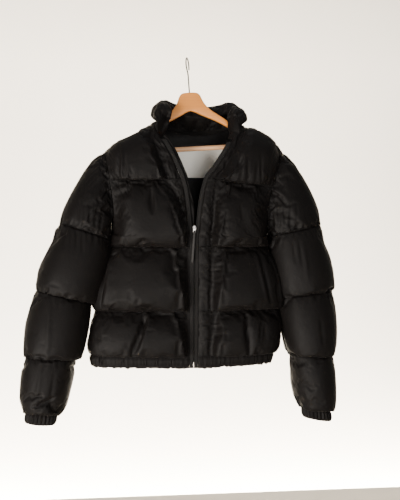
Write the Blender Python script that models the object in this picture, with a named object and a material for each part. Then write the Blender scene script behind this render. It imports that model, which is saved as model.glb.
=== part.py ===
"""Padded jacket, worn by a wooden hanger, as closed solids.

The front faces -Y, +X is the wearer's left and +Z is up.  The origin is the top of the
hook's inside, where the hook rests on a rail.  Sizes in the tables are millimetres.

Every padded piece is a wall between a plain inner cloth (the base) and a quilted outer
cloth.  The base of a body panel is a ring section at every height, and the outer cloth
stands off it by the thickness of the padding, channel by channel.
"""
import math

import bmesh
import bpy
import numpy as np

MM = 0.001
SEAM_GAP = 0.3          # between two pieces that are sewn together

# --- body -------------------------------------------------------------------------------
# Height of each quilting seam, bottom to top, at the zip and at the two side seams.
SEAM_HEIGHTS = {
    # seam        zip    right   left
    "hem":      (-694, -689, -686),
    "waist":    (-590, -588, -584),
    "chest":    (-443, -441, -441),
    "yoke":     (-288, -291, -302),
}
BODY_SEAMS = ("hem", "waist", "chest", "yoke")
SHOULDER_ROW = 4        # the body's last row: the shoulder seam and the neckline

# Inner cloth of the body: where its two sides lie, and how far it reaches forward and back.
BODY_SECTIONS = (
    # height  right   left  front  back
    (-740,   -220,   190,   46,   48),
    (-694,   -220,   199,   51,   53),
    (-650,   -213,   200,   54,   56),
    (-590,   -211,   205,   57,   59),
    (-500,   -186,   196,   60,   62),
    (-443,   -171,   184,   60,   63),
    (-410,   -167,   179,   60,   64),
    (-370,   -172,   180,   60,   65),
    (-311,   -180,   192,   60,   66),
    (-264,   -188,   204,   60,   66),
    (-217,   -195,   214,   60,   66),
)
UNDERARM_ROW = 2.18     # the body's row at which the side seam ends in the armhole
ARMHOLE_DEPTH = 43      # half the armhole's width, front to back
# Shoulder seam of the inner cloth, from the neck to the tip: X and height.
SHOULDER_LINE = {
    "right": ((-74, -154.6), (-104, -175), (-135, -195), (-161, -207), (-182, -218), (-193, -229)),
    "left": ((127, -160), (150, -169), (178, -185), (200, -198), (212, -207), (218, -217)),
}
NECK_CENTRE = 27
NECK_BACK = 52          # how far the neckline reaches behind the shoulder seams
NECK_TOP = -141         # height at which the body would close over the neck
COLLAR_END = 0.5        # share of the yoke's roll at which the collar ends in front

SECTION_POWER = 2.5     # roundness of a body section, 2 is an ellipse
ROLL_POWER = 2.8        # roundness of the yoke's roll over the shoulder

# The front edge of each front: closed on the zip below the slider, spread in a V above.
FRONT_EDGE = {
    # height, X of the cloth's edge
    "right": ((-740, -1.5), (-480, -1.5), (-422, -1.5), (-392, -6), (-347, -10.6), (-312, -15.5),
              (-278, -25.5), (-244, -40), (-212, -56.5), (-182, -73), (-150, -74)),
    "left": ((-740, 19), (-480, 19), (-422, 19), (-392, 22.5), (-337, 29), (-287, 41),
             (-257, 61), (-212, 87), (-168, 109), (-150, 127)),
}

# --- sleeves ----------------------------------------------------------------------------
# Inner cloth of each sleeve at its seams: centre, half width across and front to back, and
# how many degrees the inner side hangs below the outer side.
SLEEVE_RINGS = {
    "right": (
        # x      y     z    half  half_y  droop
        (-240, -10, -408,   54,    50,   18),
        (-289, -17, -556,   57.5,  50,   14),
        (-316, -25, -703,   52,    46,    3),
        (-336, -31, -817,   30,    30,    5),
    ),
    "left": (
        (257, -10, -404,    57,    50,   12),
        (284, -17, -553,    55,    50,    8),
        (293, -25, -697,    46,    45,   -3),
        (303, -31, -822,    30,    29,   -9),
    ),
}
SLEEVE_COLUMN = 19      # widest step round a sleeve
CAP_DROP = 1.8          # how soon the sleeve turns down from the armhole
CAP_PULL = 0.5          # and how far it runs on before it does
CAP_FILL = 0.62         # how full its highest channel is
FOOT_GAP = 4.0          # more room between sleeve and body at the foot of the armhole
CUFF_LENGTH = 25
CUFF_FLUTES = 14
CUFF_ROWS = (
    # share  drawn in  wall
    (0.00,    1,        4.0),
    (0.22,    2,        6.3),
    (0.80,    2,        6.3),
    (1.00,    1,        3.5),
)

# --- collar -----------------------------------------------------------------------------
COLLAR_HEIGHT = (50, 66)   # at its front ends, and behind
COLLAR_SECTION_TOP = 62
COLLAR_SECTION = (
    # out  up, and the same points at the collar's front ends below
    (0, 0), (0, 9.5), (5, 14), (8, 23), (7, 36), (3, 47), (-3, 55), (-10, 60), (-17, 61.5),
    (-24, 59), (-30, 52), (-32, 45), (-32, 39), (-29, 33), (-20, 23.5), (-10, 12.5), (-3, 4.5),
)
COLLAR_LEAN = (8.0, 6.0)   # how far its left end leans out: as a whole, and more at the tip
COLLAR_END_SECTION = (
    (0, 0), (0, 9.5), (3, 14), (5, 23), (5, 36), (2, 47), (-3, 55), (-10, 60), (-18, 61.5),
    (-27, 59), (-33, 52), (-35, 45), (-34, 38), (-31, 30), (-26, 20), (-18, 10), (-8, 3),
)

# --- hem --------------------------------------------------------------------------------
HEM_LENGTH = 27
HEM_ROW = 110.0         # the body's rows run on below the lowest seam at this height each
HEM_WAVE = 0.9
HEM_ROWS = ((0.0, 5), (0.3, 7), (1.0, 5))   # share down, wall

# --- padding ----------------------------------------------------------------------------
SEAM_WALL = 4.0         # the padded wall where a seam pinches it
BODY_PUFF = 29.0
BACK_PUFF = 27.0
SLEEVE_PUFF = 17.0
EDGE_RISE = 62.0        # how far from the zip the padding is full
SIDE_RISE = 78.0        # and how far from a side seam or an armhole
QUIET = 30.0            # gathers and sag fade out this near a border
FOOT_QUIET = (28.0, 84.0)   # the padding fades in between these from an armhole's foot
EDGE_SHARE = 0.10       # how much of the puff is left at the zip
SIDE_SHARE = 0.3        # at a side seam
ARMHOLE_SHARE = 0.05    # and at an armhole
YOKE_LOSS = 0.28        # how much less the yoke's channel is filled
SLEEVE_SIDE_SHARE = 0.4
PUFF_CREST = (0.45, 0.80)   # exponents: low and steep at the bottom, long above
DROOP = 5.0             # the crest of a channel sags over the seam below it

# Rows of a channel, closer where the padding rises from the seam.
CHANNEL_ROWS = (0, 0.04, 0.10, 0.18, 0.32, 0.50, 0.68, 0.85)
FRONT_COLUMNS = 20
LINING_KEEP = 0.14      # share of a plain lining's faces that stays
SHOULDER_COLUMNS = 10
NECK_COLUMNS = 16

# Soft gathers that a seam draws into the cloth, and the reach of each from its seam.
GATHER_WAVE = 37.0
GATHER_HEIGHT = 1.8
GATHER_REACH = 0.30

# Creases pressed into the channels, between two points of the front's face.
CREASES = (
    # piece          x0    z0     x1    z1   width  depth
    ("front_right", -105, -604, -113, -640,   8,    9),
    ("front_right", -113, -640, -128, -676,   9,    7),
    ("front_right", -108, -618,  -80, -612,   6,    4),
    ("front_right", -200, -630, -190, -665,   7,    4),
    ("front_right",  -92, -318,  -88, -372,   8,    5),
    ("front_right", -165, -330, -160, -395,   8,    4),
    ("front_right", -140, -470, -150, -560,  12,    3),
    ("front_left",   128, -606,  130, -672,   8,    6),
    ("front_left",    58, -600,   62, -668,   8,    4),
    ("front_left",   168, -612,  160, -664,   7,    4),
    ("front_left",   110, -330,  116, -400,   9,    4),
    ("front_left",    46, -320,   50, -420,   8,    3),
)

# --- hanger -----------------------------------------------------------------------------
HANGER_TILT = 4.0       # degrees about the hook, wearer's right arm lower
HANGER_DOWN = 80.0      # from the rail to the top of the wood
HANGER_THICKNESS = 13.0
HANGER_ROUND = 2.4      # rounding of its edges
# Outline of one half, from the middle of the top to the arm's tip and back underneath.
HANGER_TOP = (
    # out   down
    (0, 0), (14, 0.8), (20, 3), (25, 9), (29, 19), (36, 31), (47, 43), (60, 52.5),
    (75, 63), (93, 77), (118, 93), (145, 111), (158, 121), (164, 127), (167, 134),
)
HANGER_UNDER = (
    (167, 140), (163, 144), (157, 143), (148, 127), (118, 106), (93, 90.5),
    (60, 70.5), (40, 61), (22, 52.5), (6, 44.5),
)
HANGER_APEX = 43        # depth of the notch in the middle of its underside
BAR_RADIUS = 5.6
BAR_DOWN = 132.0
BAR_SIDES = 14
HOOK_WIRE = 1.6         # radius of the wire
HOOK_INSIDE = 16.0      # radius inside the hook
HOOK_TURN = 18.0        # degrees that the hook is swivelled on the hanger
HOOK_SIDES = 8

# --- zip --------------------------------------------------------------------------------
TAPE_WALL = 2.0
TAPE_WIDTH = 9.6
TAPE_FORWARD = 2.5      # the tape's middle stands in front of the inner cloth
GUARD_EDGE = ((-402, 8), (-363, 10), (-335, 6), (-312, -0.5), (-285, -5), (-260, -14.5),
              (-239, -23.7), (-219, -33), (-200, -44.5), (-182, -57))
ZIP_SPREAD = -402.0     # height at which the two tapes part
SLIDER = (8.6, 10.0, 19.0, 3.6)  # X of its middle, width, height and depth
SLIDER_HEIGHT = -402.0
LUG = (1.4, 4.4, 3.2)   # each of the slider's two lugs: width, height and reach
PULL_HEAD = (3.0, 1.1)  # width between the lugs, and radius about the hinge
PULL_LENGTH = 77.0
PULL_SLANT = 0.07       # how far it leans towards the wearer's right as it hangs
PULL_WIDTH = 4.8
PULL_WALL = 1.6

# --- label and pockets ------------------------------------------------------------------
LABEL_SIZE = (130.0, 68.5)
LABEL_MIDDLE = 33.0
LABEL_TOP = -206.0
LABEL_WALL = 0.8
LABEL_OFF = 1.2         # in front of the inner cloth
WELT_COLUMNS = (5, 6, 7)    # of a front's columns, from its side
WELT_ROWS = (1.04, 1.86)
WELT_WALL = 2.4

COLOURS = {
    "shell": ((0.022, 0.020, 0.019, 1), 0.62, 0.0),
    "tape": ((0.017, 0.016, 0.016, 1), 0.8, 0.0),
    "label": ((0.72, 0.72, 0.69, 1), 0.8, 0.0),
    "wood": ((0.60, 0.33, 0.15, 1), 0.45, 0.0),
    "steel": ((0.60, 0.60, 0.60, 1), 0.25, 1.0),
    "pull": ((0.03, 0.03, 0.03, 1), 0.4, 0.0),
}


# --- curves -----------------------------------------------------------------------------
def column(rows, number):
    return np.array([row[number] for row in rows], float)


def follow(places, values, where):
    """Smooth curve through the values, with no overshoot between them."""
    places = np.asarray(places, float)
    values = np.asarray(values, float)
    step = np.diff(places)
    slope = np.diff(values) / step
    tangent = np.empty_like(values)
    tangent[0] = slope[0]
    tangent[-1] = slope[-1]
    before, after = slope[:-1], slope[1:]
    same = before * after > 0
    mean = np.zeros_like(before)
    mean[same] = 2 * before[same] * after[same] / (before[same] + after[same])
    tangent[1:-1] = mean
    where = np.asarray(where, float)
    k = np.clip(np.searchsorted(places, where) - 1, 0, len(step) - 1)
    t = (where - places[k]) / step[k]
    inside = np.clip(t, 0, 1)
    h00 = (1 + 2 * inside) * (1 - inside) ** 2
    h10 = inside * (1 - inside) ** 2
    h01 = inside ** 2 * (3 - 2 * inside)
    h11 = inside ** 2 * (inside - 1)
    curve = (h00 * values[k] + h10 * step[k] * tangent[k]
             + h01 * values[k + 1] + h11 * step[k] * tangent[k + 1])
    end = np.where(t > 1, tangent[k + 1], tangent[k])
    return curve + (t - inside) * step[k] * end


class Arc:
    """Quarter of a superellipse, read by its length: 0 is the face and 1 is the edge."""

    def __init__(self, power, steps=600):
        turn = np.linspace(0, math.pi / 2, steps)
        self.side = np.sin(turn) ** (2 / power)
        self.face = np.cos(turn) ** (2 / power)
        self.face[-1] = 0
        length = np.hypot(np.diff(self.side), np.diff(self.face))
        self.at = np.concatenate([[0], np.cumsum(length)])
        self.at /= self.at[-1]

    def read(self, share):
        """How far to the side, and how far forward, a share of the quarter lies."""
        share = np.asarray(share, float)
        size = np.abs(share)
        folded = np.where(size > 1, 2 - size, size)
        side = np.interp(folded, self.at, self.side) * np.sign(share)
        face = np.interp(folded, self.at, self.face) * np.where(size > 1, -1, 1)
        return side, face

    def share_of_side(self, side):
        return np.interp(np.abs(side), self.side, self.at) * np.sign(side)

    def share_of_face(self, face):
        return np.interp(-np.asarray(face, float), -self.face, self.at)


SECTION = Arc(SECTION_POWER)
ROLL = Arc(ROLL_POWER)


def ramp(low, high, value):
    t = np.clip((value - low) / (high - low), 0, 1)
    return t * t * (3 - 2 * t)


def unit(vectors):
    length = np.linalg.norm(vectors, axis=-1, keepdims=True)
    return vectors / np.maximum(length, 1e-9)


def points(x, y, z):
    return np.stack(np.broadcast_arrays(x, y, z), -1).astype(float)


def steepness(surface, u, v, step=1e-3):
    """Outward normal of a surface whose rows go up and whose columns go to +X in front."""
    along = surface(u + step, v) - surface(u - step, v)
    up = surface(u, v + step) - surface(u, v - step)
    return unit(np.cross(along, up))


# --- body base --------------------------------------------------------------------------
def section(z):
    """Right side, left side and the reach forward and back of the body's inner cloth."""
    heights = column(BODY_SECTIONS, 0)
    right = follow(heights, column(BODY_SECTIONS, 1), z)
    left = follow(heights, column(BODY_SECTIONS, 2), z)
    front = follow(heights, column(BODY_SECTIONS, 3), z)
    back = follow(heights, column(BODY_SECTIONS, 4), z)
    return right, left, front, back


def seam_height(row, across):
    """Height of a body row; across is -1 at the right side, 0 at the zip and 1 at the left."""
    table = np.array([SEAM_HEIGHTS[name] for name in BODY_SEAMS], float)
    rows = np.arange(len(BODY_SEAMS))
    row = np.asarray(row, float)
    at_zip = np.interp(row, rows, table[:, 0])
    at_right = np.interp(row, rows, table[:, 1])
    at_left = np.interp(row, rows, table[:, 2])
    below = np.minimum(row, 0) * HEM_ROW
    side = np.where(np.asarray(across) < 0, at_right, at_left)
    return at_zip + (side - at_zip) * np.abs(across) + below


def underarm(side):
    return float(seam_height(UNDERARM_ROW, -1 if side == "right" else 1))


def armhole_reach(side, z):
    """How far in front of its middle the armhole's lower half runs at a height."""
    yoke = SEAM_HEIGHTS["yoke"][1 if side == "right" else 2]
    tall = yoke - underarm(side)
    share = np.clip((yoke - np.asarray(z, float)) / tall, 0, 1)
    return ARMHOLE_DEPTH * (1 - share ** SECTION_POWER) ** (1 / SECTION_POWER)


def lower_row(side, z, face):
    """Section of the body below the yoke, in front (face -1) or behind (face 1): the way
    out, the axis, the reach forward, the share of the arc at the side and the half width."""
    right, left, front, back = section(z)
    sign = -1 if side == "right" else 1
    axis = (right + left) / 2
    reach = front if face < 0 else back
    armhole = armhole_reach(side, z)
    last = SECTION.share_of_face(armhole / reach)
    wide = np.abs((right if side == "right" else left) - axis) / SECTION.read(last)[0]
    return sign, axis, reach, last, wide


def front_edge(side, z):
    rows = FRONT_EDGE[side]
    return follow(column(rows, 0), column(rows, 1), z)


def front_lower(side, u, row):
    sign = -1 if side == "right" else 1
    z = seam_height(row, sign * u)
    sign, axis, reach, last, wide = lower_row(side, z, -1)
    first = SECTION.share_of_side((front_edge(side, z) - axis) / wide) * sign
    share = first + (last - first) * u
    out, forward = SECTION.read(share)
    return points(axis + sign * wide * out, -reach * forward, z)


def shoulder_line(side, u):
    """Shoulder seam of the inner cloth, from the neck to the tip."""
    rows = SHOULDER_LINE[side]
    sign = -1 if side == "right" else 1
    x = rows[0][0] + (rows[-1][0] - rows[0][0]) * np.asarray(u, float)
    return x, follow(sign * column(rows, 0), column(rows, 1), sign * x)


def armhole_side(side, z):
    right, left, _, _ = section(z)
    return right if side == "right" else left


def yoke_patch(side, u, t, low, edge):
    """The yoke's roll over one shoulder, between its four borders."""
    up, forward = ROLL.read(t)
    top_x, top_z = shoulder_line(side, u)
    z = low[..., 2] + (top_z - low[..., 2]) * up
    neck_x, neck_z = shoulder_line(side, 0.0)
    tip_x, tip_z = shoulder_line(side, 1.0)
    low_in = edge(0.0)
    low_out = edge(1.0)
    in_z = low_in[2] + (neck_z - low_in[2]) * up
    out_z = low_out[2] + (tip_z - low_out[2]) * up
    return z, forward, top_x, in_z, out_z, neck_x, tip_x, low_in[0], low_out[0]


def front_base(side):
    sign = -1 if side == "right" else 1
    low_ends = [front_lower(side, np.array(float(end)), np.array(3.0)) for end in (0, 1)]

    def surface(u, row):
        u, row = np.broadcast_arrays(np.asarray(u, float), np.asarray(row, float))
        low = front_lower(side, u, np.minimum(row, 3))
        t = np.maximum(row - 3, 0)
        z, forward, top_x, in_z, out_z, neck_x, tip_x, in_x, out_x = yoke_patch(
            side, u, t, low, lambda end: low_ends[int(end)])
        inner = front_edge(side, in_z)
        inner = inner + (neck_x - front_edge(side, shoulder_line(side, 0.0)[1])) * t
        outer = follow([low_ends[1][2], shoulder_line(side, 1.0)[1]], [out_x, tip_x], out_z)
        x = ((1 - t) * low[..., 0] + t * top_x
             + (1 - u) * (inner - (1 - t) * in_x - t * neck_x)
             + u * (outer - (1 - t) * out_x - t * tip_x))
        high = points(x, low[..., 1] * forward, z)
        return np.where((row > 3)[..., None], high, low)

    if sign < 0:
        return lambda u, row: surface(1 - u, row)
    return surface


def back_base(u, row):
    """Surface of the back; u runs from the wearer's left side to the right side."""
    u, row = np.broadcast_arrays(np.asarray(u, float), np.asarray(row, float))
    half = SHOULDER_COLUMNS + NECK_COLUMNS / 2
    place = (u * 2 - 1) * half
    surfaces = {}
    for side, sign in (("left", -1), ("right", 1)):
        across = np.maximum(place * sign, 0) / half
        z = seam_height(np.minimum(row, 3), across * (-1 if side == "right" else 1))
        outward, axis, reach, last, wide = lower_row(side, z, 1)
        split = NECK_COLUMNS / 2 / half
        zero = SECTION.share_of_side((NECK_CENTRE - axis) / wide) * outward
        share = zero + (last - zero) * across
        off, back = SECTION.read(share)
        low = points(axis + outward * wide * off, reach * back, z)
        t = np.maximum(row - 3, 0)
        beyond = np.clip((across - split) / (1 - split), 0, 1.05)
        within = np.clip(across / split, 0, 1)
        neck_out, neck_back = SECTION.read(within)
        neck = np.array(SHOULDER_LINE[side][0], float)
        on_line = shoulder_line(side, beyond)
        top_x = np.where(across > split, on_line[0],
                         NECK_CENTRE + (neck[0] - NECK_CENTRE) * neck_out)
        top_z = np.where(across > split, on_line[1],
                         neck[1] + (NECK_TOP - neck[1]) * (1 - within ** 2))
        stop = np.where(across > split, 1.0,
                        ROLL.share_of_face(NECK_BACK * neck_back / np.maximum(low[..., 1], 1)))
        up, forward = ROLL.read(t * stop)
        top = ROLL.read(stop)[0]
        blend = up / np.maximum(top, 1e-6)
        x = low[..., 0] + (top_x - low[..., 0]) * blend
        zz = low[..., 2] + (top_z - low[..., 2]) * up
        high = points(x, low[..., 1] * forward, zz)
        surfaces[side] = np.where((row > 3)[..., None], high, low)
    return np.where((place < 0)[..., None], surfaces["left"], surfaces["right"])


# --- padding ----------------------------------------------------------------------------
def crest(t):
    """Height of the padding up a channel, from the seam below it to the seam above."""
    rise, fall = PUFF_CREST
    peak = rise / (rise + fall)
    top = peak ** rise * (1 - peak) ** fall
    t = np.clip(t, 0, 1)
    return t ** rise * (1 - t) ** fall / top


def gathers(along, t, seed):
    """Soft waves that run up from a seam and down from the next one."""
    wander = 9 * np.sin(along / 83.0 + seed) + 6 * np.sin(along / 47.0 + 2.1 * seed)
    wave = np.sin((along + wander) * 2 * math.pi / GATHER_WAVE + 1.7 * seed)
    uneven = 0.65 + 0.35 * np.sin(along / 61.0 + 3.3 * seed)
    below = ramp(0, 0.08, t) * (1 - ramp(0.08, GATHER_REACH, t))
    above = ramp(1 - GATHER_REACH, 0.92, t) * (1 - ramp(0.92, 1, t))
    return GATHER_HEIGHT * uneven * wave * (below + 0.8 * above)


def crease_depth(name, base):
    """Depth of the named piece's creases at each of its points."""
    depth = np.zeros(base.shape[:-1])
    for piece, x0, z0, x1, z1, width, deep in CREASES:
        if piece != name:
            continue
        start = np.array((x0, z0), float)
        run = np.array((x1, z1), float) - start
        offset = base[..., (0, 2)] - start
        share = np.clip((offset @ run) / (run @ run), 0, 1)
        away = np.linalg.norm(offset - share[..., None] * run, axis=-1)
        taper = 0.35 + 0.65 * np.sin(math.pi * share)
        depth = depth + deep * taper * np.exp(-(away / width) ** 2)
    return depth


def lengths(base, axis):
    """Length along the rows (axis 1) or the columns (axis 0) of a grid of points."""
    step = np.linalg.norm(np.diff(base, axis=axis), axis=-1)
    start = np.zeros_like(np.take(step, [0], axis=axis))
    return np.concatenate([start, np.cumsum(step, axis=axis)], axis=axis)


# --- meshes -----------------------------------------------------------------------------
def material(name):
    colour, roughness, metallic = COLOURS[name]
    made = bpy.data.materials.get(name) or bpy.data.materials.new(name)
    made.use_nodes = True
    shader = made.node_tree.nodes["Principled BSDF"]
    shader.inputs["Base Color"].default_value = colour
    shader.inputs["Roughness"].default_value = roughness
    shader.inputs["Metallic"].default_value = metallic
    made.diffuse_color = colour
    return made


def add_piece(name, vertices, faces, finish, origin=(0, 0, 0)):
    """Add a named piece from points in millimetres, with its faces turned outwards."""
    origin = np.array(origin, float)
    mesh = bpy.data.meshes.new(name)
    mesh.from_pydata(((np.asarray(vertices) - origin) * MM).tolist(), [], faces)
    shape = bmesh.new()
    shape.from_mesh(mesh)
    bmesh.ops.recalc_face_normals(shape, faces=shape.faces)
    if shape.calc_volume(signed=True) < 0:
        bmesh.ops.reverse_faces(shape, faces=shape.faces)
    shape.to_mesh(mesh)
    shape.free()
    mesh.materials.append(material(finish))
    mesh.shade_smooth()
    mesh.set_sharp_from_angle(angle=math.radians(50))
    piece = bpy.data.objects.new(name, mesh)
    piece.location = (origin * MM).tolist()
    bpy.context.scene.collection.objects.link(piece)
    return piece


def wall(name, inner, outer, finish, closed=False, keep=1.0, fixed=None):
    """A cloth wall between two grids of points; a closed wall joins its last column to its
    first.  keep is the share of the inner cloth's faces that stays, since it is plain, and
    fixed marks the points of it that stay where something lies on them."""
    rows, columns = inner.shape[:2]
    count = rows * columns
    vertices = np.concatenate([outer.reshape(-1, 3), inner.reshape(-1, 3)])
    faces = []
    spans = columns if closed else columns - 1
    for r in range(rows - 1):
        for c in range(spans):
            d = (c + 1) % columns
            quad = [r * columns + c, r * columns + d, (r + 1) * columns + d, (r + 1) * columns + c]
            faces.append(quad)
            faces.append([count + k for k in reversed(quad)])
    for r in (0, rows - 1):
        for c in range(spans):
            d = (c + 1) % columns
            a, b = r * columns + c, r * columns + d
            faces.append([a, b, count + b, count + a])
    if not closed:
        for c in (0, columns - 1):
            for r in range(rows - 1):
                a, b = r * columns + c, (r + 1) * columns + c
                faces.append([a, b, count + b, count + a])
    piece = add_piece(name, vertices, faces, finish)
    if keep < 1:
        plain = piece.vertex_groups.new(name="plain")
        inside = [count + r * columns + c for r in range(1, rows - 1)
                  for c in range(0 if closed else 1, columns if closed else columns - 1)
                  if fixed is None or not fixed[r, c]]
        plain.add(inside, 1.0, "REPLACE")
        triangles = sum(len(face) - 2 for face in faces)
        hidden = 2 * (rows - 1) * spans
        thinned = piece.modifiers.new("plain lining", "DECIMATE")
        thinned.vertex_group = plain.name
        thinned.ratio = 1 - hidden * (1 - keep) / triangles
        thinned.use_collapse_triangulate = True
    return piece


def body_rows():
    rows = [channel + t for channel in range(SHOULDER_ROW) for t in CHANNEL_ROWS]
    return np.array(rows + [SHOULDER_ROW], float)


def channel_share(rows):
    """Place of each row inside its channel, 0 at the seam below and 1 at the seam above."""
    share = rows - np.floor(rows)
    share[-1] = 1.0
    return share


def sideways_free(normal, near):
    """Turn wall directions out of the sleeve's way where a panel is near its armhole."""
    facing = np.abs(normal[..., 0])
    share = near * (1 - ramp(0.62, 0.97, facing))
    turned = normal.copy()
    turned[..., 0] *= 1 - share
    return unit(turned)


def hung_over(outer, t, loose, above_seam):
    """Let the crest of each channel sag over the seam below it, where it is loose."""
    droop = DROOP * loose * np.exp(-((t - 0.08) / 0.14) ** 2)
    outer[..., 2] -= np.minimum(droop, 0.8 * above_seam) * (t > 0.001)
    return outer


def underarm_share(side, base):
    """How much of the padding is left near the foot of an armhole."""
    height = underarm(side)
    foot = np.array((armhole_side(side, height), 0, height), float)
    return ramp(*FOOT_QUIET, np.linalg.norm(base - foot, axis=-1))


def above_own_seam(base, rows):
    """Height of each point over the seam at the bottom of its own channel."""
    seam = np.searchsorted(rows, np.minimum(np.floor(rows), SHOULDER_ROW - 1))
    return np.maximum(base[..., 2] - base[seam][..., 2], 0)


def front_panel(side):
    """Inner and outer points of a front, from hem to shoulder and towards +X."""
    name = "front_" + side
    base_of = front_base(side)
    rows = body_rows()
    share = channel_share(rows)
    u, v = np.meshgrid(np.linspace(0, 1, FRONT_COLUMNS + 1), rows)
    base = base_of(u, v)
    along = lengths(base, 1)
    to_left, to_right = along[:, -1:] - along, along
    from_edge, to_side = (to_right, to_left) if side == "left" else (to_left, to_right)
    t = share[:, None]
    above = ramp(underarm(side) - 30, underarm(side) + 20, base[..., 2])
    side_share = SIDE_SHARE * (1 - above) + ARMHOLE_SHARE * above
    full = (EDGE_SHARE + (1 - EDGE_SHARE) * np.sqrt(ramp(0, EDGE_RISE, from_edge))) * (
        side_share + (1 - side_share) * np.sqrt(ramp(0, SIDE_RISE, to_side)))
    full = full * (1 - YOKE_LOSS * ramp(3.0, 3.25, v)) * underarm_share(side, base)
    wave = gathers(along, t, 1.0 if side == "right" else 2.4)
    inside = ramp(0, QUIET, from_edge) * ramp(0, QUIET, to_side)
    wave = wave * inside
    fold = crease_depth(name, base) * ramp(0, 0.1, crest(t))
    thick = SEAM_WALL + np.maximum(BODY_PUFF * crest(t) * full + wave - fold, 0)
    direction = sideways_free(steepness(base_of, u, v), (1 - ramp(5, 60, to_side)) * above)
    outer = base + direction * thick[..., None]
    outer = hung_over(outer, t, full * inside, above_own_seam(base, rows))
    half_gap = SEAM_GAP / 2
    outside = 0 if side == "right" else -1
    for grid in (base, outer):
        grid[0, :, 2] += half_gap
        grid[-1, :, 1] -= half_gap
        grid[rows <= UNDERARM_ROW + 1e-6, outside, 1] -= half_gap
    return base, outer


def back_panel():
    rows = body_rows()
    share = channel_share(rows)
    columns = 2 * SHOULDER_COLUMNS + NECK_COLUMNS
    u, v = np.meshgrid(np.linspace(0, 1, columns + 1), rows)
    base = back_base(u, v)
    along = lengths(base, 1)
    edge = np.minimum(along, along[:, -1:] - along)
    t = share[:, None]
    above = np.where(u < 0.5, ramp(-30, 20, base[..., 2] - underarm("left")),
                     ramp(-30, 20, base[..., 2] - underarm("right")))
    side_share = SIDE_SHARE * (1 - above) + ARMHOLE_SHARE * above
    full = side_share + (1 - side_share) * np.sqrt(ramp(0, SIDE_RISE, edge))
    full = full * (1 - YOKE_LOSS * ramp(3.0, 3.25, v))
    full = full * underarm_share("right", base) * underarm_share("left", base)
    wave = gathers(along, t, 4.2) * ramp(0, QUIET, edge)
    thick = SEAM_WALL + np.maximum(BACK_PUFF * crest(t) * full + wave, 0)
    direction = sideways_free(steepness(back_base, u, v), (1 - ramp(5, 60, edge)) * above)
    outer = base + direction * thick[..., None]
    outer = hung_over(outer, t, full * ramp(0, QUIET, edge), above_own_seam(base, rows))
    half_gap = SEAM_GAP / 2
    on_shoulder = np.abs(u[-1] - 0.5) * columns >= NECK_COLUMNS / 2 - 0.01
    for grid in (base, outer):
        grid[0, :, 2] += half_gap
        grid[-1, on_shoulder, 1] += half_gap
        for outside in (0, -1):
            grid[rows <= UNDERARM_ROW + 1e-6, outside, 1] += half_gap
    return base, outer


# --- sleeves ----------------------------------------------------------------------------
def armhole_loop(side, fronts, back):
    """Points of the armhole and how far the body's wall leans out of it, from the underarm
    up the front to the shoulder and down the back."""
    rows = body_rows()
    above = np.nonzero(rows >= UNDERARM_ROW - 1e-6)[0]
    outside = 0 if side == "right" else -1
    behind = -1 if side == "right" else 0
    sign = -1 if side == "right" else 1
    loop, lean = [], []
    base, outer = fronts[side]
    for r in above:
        loop.append(base[r, outside])
        lean.append(outer[r, outside, 0] - base[r, outside, 0])
    base, outer = back
    for r in above[-2:0:-1]:
        loop.append(base[r, behind])
        lean.append(outer[r, behind, 0] - base[r, behind, 0])
    loop = np.array(loop)
    lean = np.maximum(np.array(lean) * sign, 0)
    loop[0, 1] = 0
    loop[len(above) - 1, 1] = 0
    for _ in range(3):
        lean = np.maximum(lean, np.maximum(np.roll(lean, 1), np.roll(lean, -1)) * 0.92)
    full_loop, full_lean = [], []
    for k, start in enumerate(loop):
        end = loop[(k + 1) % len(loop)]
        parts = max(1, int(np.ceil(np.linalg.norm(end - start) / SLEEVE_COLUMN)))
        for part in range(parts):
            full_loop.append(start + (end - start) * part / parts)
            full_lean.append(lean[k] + (lean[(k + 1) % len(loop)] - lean[k]) * part / parts)
    full_loop = np.array(full_loop)
    low = FOOT_GAP * (1 - ramp(5, 40, full_loop[:, 2] - loop[0, 2]))
    full_loop[:, 0] += sign * (np.array(full_lean) + SEAM_GAP + low)
    return full_loop


def loop_turn(loop):
    """Angle of each loop point round the sleeve: 0 underarm, pi at the shoulder."""
    step = np.linalg.norm(np.roll(loop, -1, 0) - loop, axis=1)
    at = np.concatenate([[0], np.cumsum(step)])
    top = int(np.argmax(loop[:, 2]))
    half = math.pi / at[top]
    rest = math.pi / (at[-1] - at[top])
    return np.where(np.arange(len(loop)) <= top, at[:-1] * half,
                    math.pi + (at[:-1] - at[top]) * rest)


def sleeve_ring(side, place, turn):
    """Inner cloth of a sleeve at a place along its seams, 1 to 4."""
    rows = SLEEVE_RINGS[side]
    seams = np.arange(1, len(rows) + 1)
    x, y, z, half, half_y, droop = [follow(seams, column(rows, k), place) for k in range(6)]
    tilt = np.radians(droop)
    sign = -1 if side == "right" else 1
    inward = np.cos(turn) * half
    return points(x - sign * np.cos(tilt) * inward, y - half_y * np.sin(turn),
                  z - np.sin(tilt) * inward)


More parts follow.
